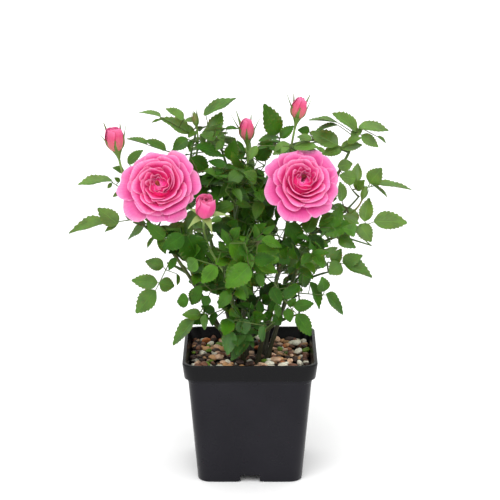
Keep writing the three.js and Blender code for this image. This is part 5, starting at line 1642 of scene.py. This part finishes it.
def add_limb(pile, limb, roll, sides, step, relief, thorns=0.0):
    """A limb with knots, bumps and prickles, sunk into what it stands on. step is the length of a ring."""
    points, radii = limb_line(limb, step, FOOT_SUNK if limb.flared else FORK_SUNK, GAP + 0.2)
    angles = ring_angles(sides)
    knot_every = max(4, round(KNOT_SPACING / step))
    phase = roll(0, FULL_TURN)
    table = []
    for i, radius in enumerate(radii):
        knot = 1 + 0.16 * relief * math.exp(-(((i % knot_every) - knot_every / 2) ** 2) / 1.2)
        bumps = 1 + 0.05 * relief * np.sin(3 * angles + phase + 0.5 * i) + relief * roll(-0.025, 0.025)
        table.append(radius * knot * bumps)
    add_tube(pile, points, table, sides)
    for i in range(2, len(points) - 2):
        if thorns and roll(0, 1) < thorns:
            tangent = unit(points[i + 1] - points[i - 1])
            outwards = turned_about(any_normal(tangent), tangent, roll(0, FULL_TURN))
            add_thorn(pile, points[i] + outwards * radii[i] * 0.85, outwards, -tangent, roll(*THORN_SIZE))


def make_limbs():
    roll = dice(SEEDS["limbs"])
    canes, stems = Pile(), Pile()
    for name in (*CANES, *BOUGHS):
        add_limb(canes, limbs[name], roll, sides=14, step=1.6, relief=1.0, thorns=THORNS)
    looks = [bark_look("cane_bark", shaded_foot=True), bark_look("prickle")]
    dress(canes.object("canes_and_boughs", looks), [*CANES, *BOUGHS])
    names = [stem_name(flower) for flower in (*BLOOMS, *BUDS)]
    for name in names:
        add_limb(stems, limbs[name], roll, sides=12, step=1.8, relief=0.35)
    dress(stems.object("flower_stems", [bark_look("flower_stem")]), names)


# Flowers

# Petals and sepals show an edge where faces meet at more degrees than this
SHEET_CREASE = 60

# The guard petals of each bloom: the way each points from the middle, in degrees up from the right, how far
# the rim reaches, and half its span in degrees
GUARDS = {
    "bloom_left": ((100, 31, 34), (53, 32.5, 30), (12, 32, 27), (-30, 29, 25), (-60, 31, 24), (-96, 30, 27),
                   (-146, 34, 32), (172, 34.5, 32), (136, 32, 28)),
    "bloom_right": ((184, 31, 36), (-108, 30, 37), (-52, 29, 25), (-18, 31, 25), (12, 32, 24), (38, 33.5, 26),
                    (70, 32.5, 27), (104, 33, 27), (138, 30.5, 25)),
}
GUARD = {"height": (8.0, 9.6), "fold": 1.0, "bulge": 0.74, "inset": 1.4, "spread": 1.15}
# The whorls within, from the outside: petals, reach of the rim, its height, how far it folds back, half
# span in radians, and how far the petal bulges below its rim
WHORLS = (
    (5, 24.4, 12.0, 1.0, 0.8, 0.82), (4, 20.8, 14.0, 1.0, 0.95, 0.9), (5, 17.2, 15.6, 0.8, 0.84, 0.98),
    (4, 13.8, 16.4, 0.7, 0.96, 1.02), (4, 10.6, 16.2, 0.5, 0.94, 1.06),
)
# How far each bloom's heart lies to the right of the middle of its guard petals and above it
HEART_SHIFT = {"bloom_left": (-2.2, 3.4), "bloom_right": (2.8, 8.4)}
HEART = {"petals": 10, "reach": (2.6, 8.0), "height": (11.5, 15), "span": (0.7, 1.2), "fold": 0.1,
         "bulge": 1.15, "crumple": 0.9}
# How wide the whorls stand against the left bloom's
ROSETTE = {"bloom_left": 1.0, "bloom_right": 0.88}
# Each bloom's seed, the look of its eye, and the look of its heart
BLOOM_LOOKS = {"bloom_left": (411, "eye_red", 3), "bloom_right": (977, "eye_dark", 2)}
PETAL_SLOTS = ("petal_outer", "petal_middle", "petal_inner", "petal_heart")
# The look of each whorl, as a place in those
WHORL_SLOTS = (0, 1, 1, 2, 2)
# The reach from which a petal is as flat as the broadest
FLAT_REACH = 31
PETAL_ROWS = 12
PETAL_COLUMNS = 19
# A petal's foot: its distance from the axis, its height over the neck, its width against the rim's, and how
# high the petal bends up against the rim
PETAL_FOOT = {"radial": 1.5, "along": 2.2, "width": 0.36, "bend": 0.16}
# How petals vary: in reach, height, the rim's notch and where it is, two ruffles, and the tuck of one side
PETAL_VARIES = {"reach": (0.92, 1.04), "height": 1.0, "notch": 0.07, "notch_at": 0.3,
                "ruffles": ((1.0, 2.2, 4.2), (0.4, 6, 9)), "tuck": (0.3, 1.7)}
# Within the blooms: a cone under the petals, the stigmas and the stamens, in the middle of them. A solid of
# revolution is pairs of distance along the axis and radius, here and in the calyx.
CONE = ((2.6, 1.0), (3.2, 9.0), (6, 8.4), (8.5, 6.0), (10.2, 2.6), (10.6, 0.4))
STIGMAS = ((9, 1.4), (12, 1.9), (12.8, 1.2), (12.9, 0.2))
STAMENS = {"count": 16, "reach": (0.6, 2.4), "foot": 9.0, "height": (12.5, 15), "radius": 0.14,
           "anther": (0.2, 0.36, 0.36, 0.1), "anther_length": 0.9}
BLOOM_CALYX = ((-9, 0.9), (-6.5, 1.0), (-4.5, 1.7), (-3, 2.9), (-1, 3.5), (1, 3.4), (3, 3.6), (4.2, 2.6))
SEPALS = 5
# A sepal's outline: shares of its length and of its width
SEPAL_OUTLINE = ((0, 0.25, 0.5, 0.75, 1), (1, 0.96, 0.62, 0.24, 0.09))
BLOOM_SEPAL = {"foot": (3.2, 1.2), "length": 17, "leans": (60, 80, 96, 120), "width": 4.8, "turn": 0.4}


def petal(pile, place, whorl, centre, roll, look, shift, crumple=0.0):
    """One petal: a cupped sheet with a rounded, ruffled and folded rim, one side tucked under the next.

    b goes from its foot to its rim, a from one side to the other, and flat is 1 in the broadest petals.
    """
    reach, height, fold, span, bulge = whorl
    b, a = np.meshgrid(np.linspace(0, 1, PETAL_ROWS), np.linspace(-1, 1, PETAL_COLUMNS), indexing="ij")
    varies = PETAL_VARIES
    flat = min(1, reach / FLAT_REACH)
    reach *= roll(*varies["reach"])
    height += roll(-varies["height"], varies["height"])
    notch = roll(0.0, varies["notch"])
    notch = notch * np.exp(-(((a - roll(-varies["notch_at"], varies["notch_at"])) / 0.2) ** 2))
    ends = 0.4 * np.clip((np.abs(a) - 0.6) / 0.4, 0, 1) ** 2
    out = b * (1 - 0.32 * flat ** 3 * np.abs(a) ** 2.4 - ends * (1 - 0.5 * flat ** 2) - notch)
    widening = np.sin(np.minimum(out / 0.7, 1) * math.pi / 2)
    angle = centre + a * span * lerp(PETAL_FOOT["width"], 1, widening)
    radial = bezier(out, PETAL_FOOT["radial"], reach * bulge, reach)
    along = bezier(out, PETAL_FOOT["along"], height * PETAL_FOOT["bend"], height)
    curl = np.clip((out - 0.7) / 0.3, 0, 1) ** 2
    ruffle = sum(high * np.sin(a * roll(slow, fast) + roll(0, FULL_TURN)) * out ** 3
                 for high, slow, fast in varies["ruffles"])
    along = along - fold * curl * (1.2 + 3.2 * flat) + ruffle * (0.45 + 1.3 * flat)
    folds = crumple * np.sin(a * 6 + roll(0, FULL_TURN)) * out ** 2
    tuck = (0.22 - 0.17 * flat) * roll(*varies["tuck"]) * a
    chord = 0.14 * (1 - flat) * a ** 2
    radial = (radial + fold * curl * 1.9) * (1 + tuck + chord + 0.06 * (1 - 0.5 * flat) * ruffle) + folds
    surface = place.place(np.maximum(radial, 0.3), angle, along)
    surface += np.minimum(1, 1.4 * out)[..., None] * shift * (1 - flat ** 1.5)
    add_sheet(pile, surface, 0.34 - 0.26 * b, look)


def lean_path(start, length, leans, rows=12):
    """A line that starts beside the axis and leans from it by these degrees in turn."""
    lean = np.radians(np.interp(np.linspace(0, 1, rows), np.linspace(0, 1, len(leans)), leans))
    step = length / (rows - 1)
    radial = start[0] + np.concatenate(([0], np.cumsum(np.sin(lean[:-1]) * step)))
    along = start[1] + np.concatenate(([0], np.cumsum(np.cos(lean[:-1]) * step)))
    return radial, along


def sepal(pile, place, around, path, width, roll):
    """A pointed sepal along a path, hollow across and drawn out to a thread."""
    radial, along = (line[:, None] for line in path)
    shares = np.linspace(0, 1, len(radial))[:, None]
    steep = np.arctan2(np.gradient(radial[:, 0]), np.gradient(along[:, 0]))[:, None]
    across = np.linspace(-1, 1, 7)[None]
    away = width / 2 * np.interp(shares, *SEPAL_OUTLINE) * across
    angle = around + roll(-0.1, 0.1) * shares + away / np.maximum(radial, 0.5 * width)
    hollow = 0.1 * width * across ** 2 * (1 - shares)
    surface = place.place(radial - hollow * np.cos(steep), angle, along + hollow * np.sin(steep))
    add_sheet(pile, surface, 0.36 - 0.2 * shares)


def bloom_petals(name, place, shift, roll, heart_look):
    """The guard petals, the whorls within them, the crumpled heart, and the cone that they stand on."""
    pile = Pile()
    for i, (degrees, reach, span) in enumerate(GUARDS[name]):
        height, span = GUARD["height"][i % 2], math.radians(span) * GUARD["spread"]
        whorl = (reach - GUARD["inset"], height, GUARD["fold"], span, GUARD["bulge"])
        petal(pile, place, whorl, math.radians(degrees), roll, 0, shift)
    start = roll(0, 1)
    for (count, reach, *rest), look in zip(WHORLS, WHORL_SLOTS):
        whorl = (reach * ROSETTE[name], *rest)
        start += math.pi / count + roll(-0.15, 0.15)
        for i in range(count):
            petal(pile, place, whorl, start + i * 2 * math.pi / count + roll(-0.2, 0.2), roll, look, shift)
    for i in range(HEART["petals"]):
        reach, height = (lerp(*HEART[key], 1 - i / HEART["petals"]) for key in ("reach", "height"))
        whorl = (reach, height + roll(-0.8, 0.8), HEART["fold"], roll(*HEART["span"]), HEART["bulge"])
        centre = i * GOLDEN_ANGLE + roll(-0.3, 0.3)
        petal(pile, place, whorl, centre, roll, heart_look, shift, HEART["crumple"])
    turned_solid(pile, Frame(place.origin + shift * 0.5, place.axis), CONE, sides=18, look=2)
    return pile


def bloom_eye(place, shift, roll):
    """The stigmas, and the stamens around them."""
    pile = Pile()
    turned_solid(pile, Frame(place.origin + shift, place.axis), STIGMAS, 12)
    for _ in range(STAMENS["count"]):
        around, reach, height = roll(0, FULL_TURN), roll(*STAMENS["reach"]), roll(*STAMENS["height"])
        low, high = (place.place(*map(np.array, (reach * k, around, z))) + shift * k
                     for k, z in ((0.3, STAMENS["foot"]), (1.0, height)))
        add_tube(pile, curve_points(low, high, place.across * 0.3, 4), [STAMENS["radius"]] * 4, 5)
        tip = high + place.axis * STAMENS["anther_length"]
        add_tube(pile, curve_points(high, tip, place.across * 0.1, 4), STAMENS["anther"], 6)
    return pile


def make_bloom(name, looks):
    seed, eye_look, heart_look = BLOOM_LOOKS[name]
    place = setting(BLOOMS[name])[0]
    roll = dice(seed)
    aside, above = HEART_SHIFT[name]
    shift = vector((aside, 0, above))
    shift -= place.axis * (shift @ place.axis)
    petals = bloom_petals(name, place, shift, roll, heart_look)
    petal_looks = [looks[slot] for slot in PETAL_SLOTS]
    dress(petals.object("petals_" + name, petal_looks, SHEET_CREASE), [name])
    dress(bloom_eye(place, shift, roll).object("stamens_" + name, [looks[eye_look]]))
    green = Pile()
    turned_solid(green, place, BLOOM_CALYX, 18)
    for i in range(SEPALS):
        path = lean_path(BLOOM_SEPAL["foot"], BLOOM_SEPAL["length"], BLOOM_SEPAL["leans"])
        sepal(green, place, 2 * math.pi * i / SEPALS + BLOOM_SEPAL["turn"], path, BLOOM_SEPAL["width"], roll)
    dress(green.object("calyx_" + name, [looks["calyx_green"]], SHEET_CREASE))


# The petals of a bud leave the hip at this share of its length, and these are the powers of its outline from
# there to its tip: how round its foot is, how full its top, and how far past the tip it would close
PETALS_FOOT = 0.12
CLOSED_BUD = (0.5, 0.8, 1.02)
OPEN_BUD = (0.45, 0.72, 1.2)
# Furled petals: how many in each layer from the outside, and how much smaller each layer is
FURLED = (5, 4, 3, 3)
FURLED_INSET = 0.2
# How large the petals of an opening bud and of a closed one are against the solid's
OPENING_SHARE = 0.9
CLOSED_SHARE = 1.03
# Each bud's outline and the look of its outer petals
BUD_LOOKS = {
    "bud_left": (OPEN_BUD, "bud_petal"),
    "bud_centre": (CLOSED_BUD, "bud_petal"),
    "bud_top": (CLOSED_BUD, "bud_petal"),
    "bud_front": (OPEN_BUD, "bud_petal_red"),
}
# A bud's hip below the petals, in shares of its length and width
HIP = ((-0.08, 0.12), (0, 0.17), (0.1, 0.25), (0.2, 0.33), (0.24, 0.3))
# How far the sepals of a closed bud stand off its petals
HUG_ROOM = 0.35
# A green bud's outline: shares of its length and of its half width
GREEN_OUTLINE = ((-0.12, 0.0, 0.12, 0.3, 0.5, 0.72, 0.9, 1.0), (0.3, 0.42, 0.66, 0.9, 1.0, 0.8, 0.42, 0.1))


def bud_reach(share, form):
    """The half width of a bud at a share of its length, where the widest is 1."""
    foot, top, close = form
    t = np.clip((share - PETALS_FOOT) / (1 - PETALS_FOOT), 0, 1)
    scale = np.linspace(0, 1, 101)
    widest = (scale ** foot * (close - scale) ** top).max()
    return np.maximum(t ** foot * (close - t) ** top / widest, 0.02)


def furled_petal(pile, place, size, form, turn, layer, roll):
    """One petal of a bud, wound about its axis: b goes from its foot to its tip, a from side to side."""
    length, width = size
    b, a = np.meshgrid(np.linspace(0, 1, 14), np.linspace(-1, 1, 13), indexing="ij")
    top = (1 - 0.015 * layer - roll(0, 0.06)) * (1 - 0.09 * np.abs(a) ** 2.5)
    share = PETALS_FOOT + (top - PETALS_FOOT) * b
    inset = 1 - FURLED_INSET * layer
    radial = bud_reach(share, form) * width / 2 * inset + 0.09 * width * a * (0.3 + 0.7 * b) * inset
    radial = radial + np.clip((b - 0.8) / 0.2, 0, 1) ** 2 * roll(0.1, 0.8) * max(0, 1 - 0.4 * layer)
    span = math.pi / FURLED[layer] * 1.7
    angle = turn + a * span * (0.75 + 0.25 * b) + 0.35 * b
    surface = place.place(np.maximum(radial, 0.15), angle, share * length)
    add_sheet(pile, surface, 0.32 - 0.16 * b, min(layer, 1))


def hugging_path(bud_length, width, form, reach, lean):
    """Up the side of the bud to its widest, and on from there at a lean."""
    share = np.linspace(PETALS_FOOT - 0.02, PETALS_FOOT + reach, 14)
    widest = 0.5
    beside = np.maximum(bud_reach(np.minimum(share, widest), form) * width / 2 + HUG_ROOM, 0.2 * width)
    radial = beside + np.maximum(share - widest, 0) * bud_length * math.tan(math.radians(lean))
    return radial, share * bud_length


def make_bud(name, looks, seed):
    bud = BUDS[name]
    place, length = setting(bud)
    width = bud["width"]
    form, outer_look = BUD_LOOKS[name]
    roll = dice(seed)
    reflexed = bud["lean"] > 90
    share = OPENING_SHARE if reflexed else CLOSED_SHARE
    size = (length * min(share, 1), width * share)
    petals, green = Pile(), Pile()
    for layer, count in enumerate(FURLED):
        for i in range(count):
            turn = (i + 0.5 * layer) * 2 * math.pi / count + roll(-0.15, 0.15)
            furled_petal(petals, place, size, form, turn, layer, roll)
    bud_looks = [looks[outer_look], looks["bud_petal_inner"]]
    dress(petals.object("petals_" + name, bud_looks, SHEET_CREASE), [name])
    stem = [(-BUD_PEDICEL - 1, 0.85), (-0.2 * length, 0.95)]
    turned_solid(green, place, stem + [(at * length, reach * width) for at, reach in HIP], 20)
    for i in range(SEPALS):
        around = 2 * math.pi * i / SEPALS + roll(-0.12, 0.12)
        if reflexed:
            reach = length * (0.42 if i in (1, 2) else roll(0.56, 0.68))
            path = lean_path((0.2 * width, 0.12 * length), reach, (66, 90, 104, bud["lean"]))
            sepal(green, place, around, path, 0.42 * width, roll)
        else:
            reach = 0.5 if i == 0 else roll(0.88, 1.12)
            path = hugging_path(length, width, form, reach, roll(8, 34))
            sepal(green, place, around, path, 0.5 * width, roll)
    look = looks["sepal_pale" if reflexed else "calyx_green"]
    dress(green.object("calyx_" + name, [look], SHEET_CREASE))


def make_green_bud(name, look, seed):
    bud = GREEN_BUDS[name]
    place, length = setting(bud)
    width = bud["width"]
    roll = dice(seed)
    green = Pile()
    add_limb(green, limbs[name], roll, sides=8, step=2.0, relief=0.3)
    along = np.linspace(GREEN_OUTLINE[0][0], 1.0, 18)
    reach = np.interp(along, *GREEN_OUTLINE) * width / 2
    turned_solid(green, place, list(zip(along * length, reach)), 16)
    for i in range(SEPALS):
        leans = (34, 8, -6, 2)
        path = lean_path((0.24 * width, 0.06 * length), length * roll(1.0, 1.2), (*leans, roll(14, 60)))
        sepal(green, place, 2 * math.pi * i / SEPALS, path, 0.5 * width, roll)
    dress(green.object("green_" + name, [look], SHEET_CREASE), [name])


def make_flowers():
    looks = {name: petal_look(name) for name in PETAL_COLOURS}
    looks.update((name, bark_look(name)) for name in ("calyx_green", "sepal_pale"))
    for name in BLOOMS:
        make_bloom(name, looks)
    for name, seed in zip(BUDS, itertools.count(*SEEDS["buds"])):
        make_bud(name, looks, seed)
    for name, seed in zip(GREEN_BUDS, itertools.count(*SEEDS["green_buds"])):
        make_green_bud(name, looks["calyx_green"], seed)


# The stage

# The lights: where each shines from, how wide it spreads in degrees, and its power
LIGHTS = {
    "key": ((-300, -1000, 1150), 46, 1.6),
    "fill": ((800, -1000, 700), 60, 0.6),
    "top": ((100, 300, 1300), 60, 0.8),
}
STUDIO = {"light": 0.78, "floor": (0.95, 0.95, 0.95, 1.0), "floor_half": 12.0}


def look_at(thing, place, target):
    thing.location = vector(place) * MM
    way = mathutils.Vector(vector(target) - vector(place))
    thing.rotation_euler = way.to_track_quat("-Z", "Y").to_euler()


def add_light(name, place, spread_degrees, power):
    """Light from far away at the place's side, soft over an angle."""
    lamp = bpy.data.lights.new(name, "SUN")
    lamp.angle = math.radians(spread_degrees)
    lamp.energy = power
    thing = bpy.data.objects.new(name, lamp)
    bpy.context.scene.collection.objects.link(thing)
    look_at(thing, place, (0, 0, 0))


def make_stage():
    scene = bpy.context.scene
    scene.view_settings.view_transform = "Standard"
    world = bpy.data.worlds.new("studio")
    world.use_nodes = True
    sky = world.node_tree.nodes["Background"]
    sky.inputs["Color"].default_value = (1.0, 1.0, 1.0, 1.0)
    sky.inputs["Strength"].default_value = STUDIO["light"]
    scene.world = world
    half = STUDIO["floor_half"]
    mesh = bpy.data.meshes.new("floor")
    corners = [(-half, -half, 0), (half, -half, 0), (half, half, 0), (-half, half, 0)]
    mesh.from_pydata(corners, [], [(0, 1, 2, 3)])
    floor = bpy.data.objects.new("floor", mesh)
    scene.collection.objects.link(floor)
    mesh.materials.append(Look("floor_paint", 0.9, specular=0.1).finish(STUDIO["floor"]))
    for name, light in LIGHTS.items():
        add_light(name, *light)
    camera = bpy.data.objects.new("camera", bpy.data.cameras.new("camera"))
    camera.data.lens = CAMERA_LENS
    camera.data.sensor_width = 36
    camera.data.clip_end = 100
    scene.collection.objects.link(camera)
    look_at(camera, CAMERA_PLACE, CAMERA_TARGET)
    scene.camera = camera


grow_limbs()
sprays = grow_sprays()
growths = grow_foliage(sprays)
make_pot()
make_gravel()
make_limbs()
make_foliage(growths, sprays)
make_flowers()
make_stage()
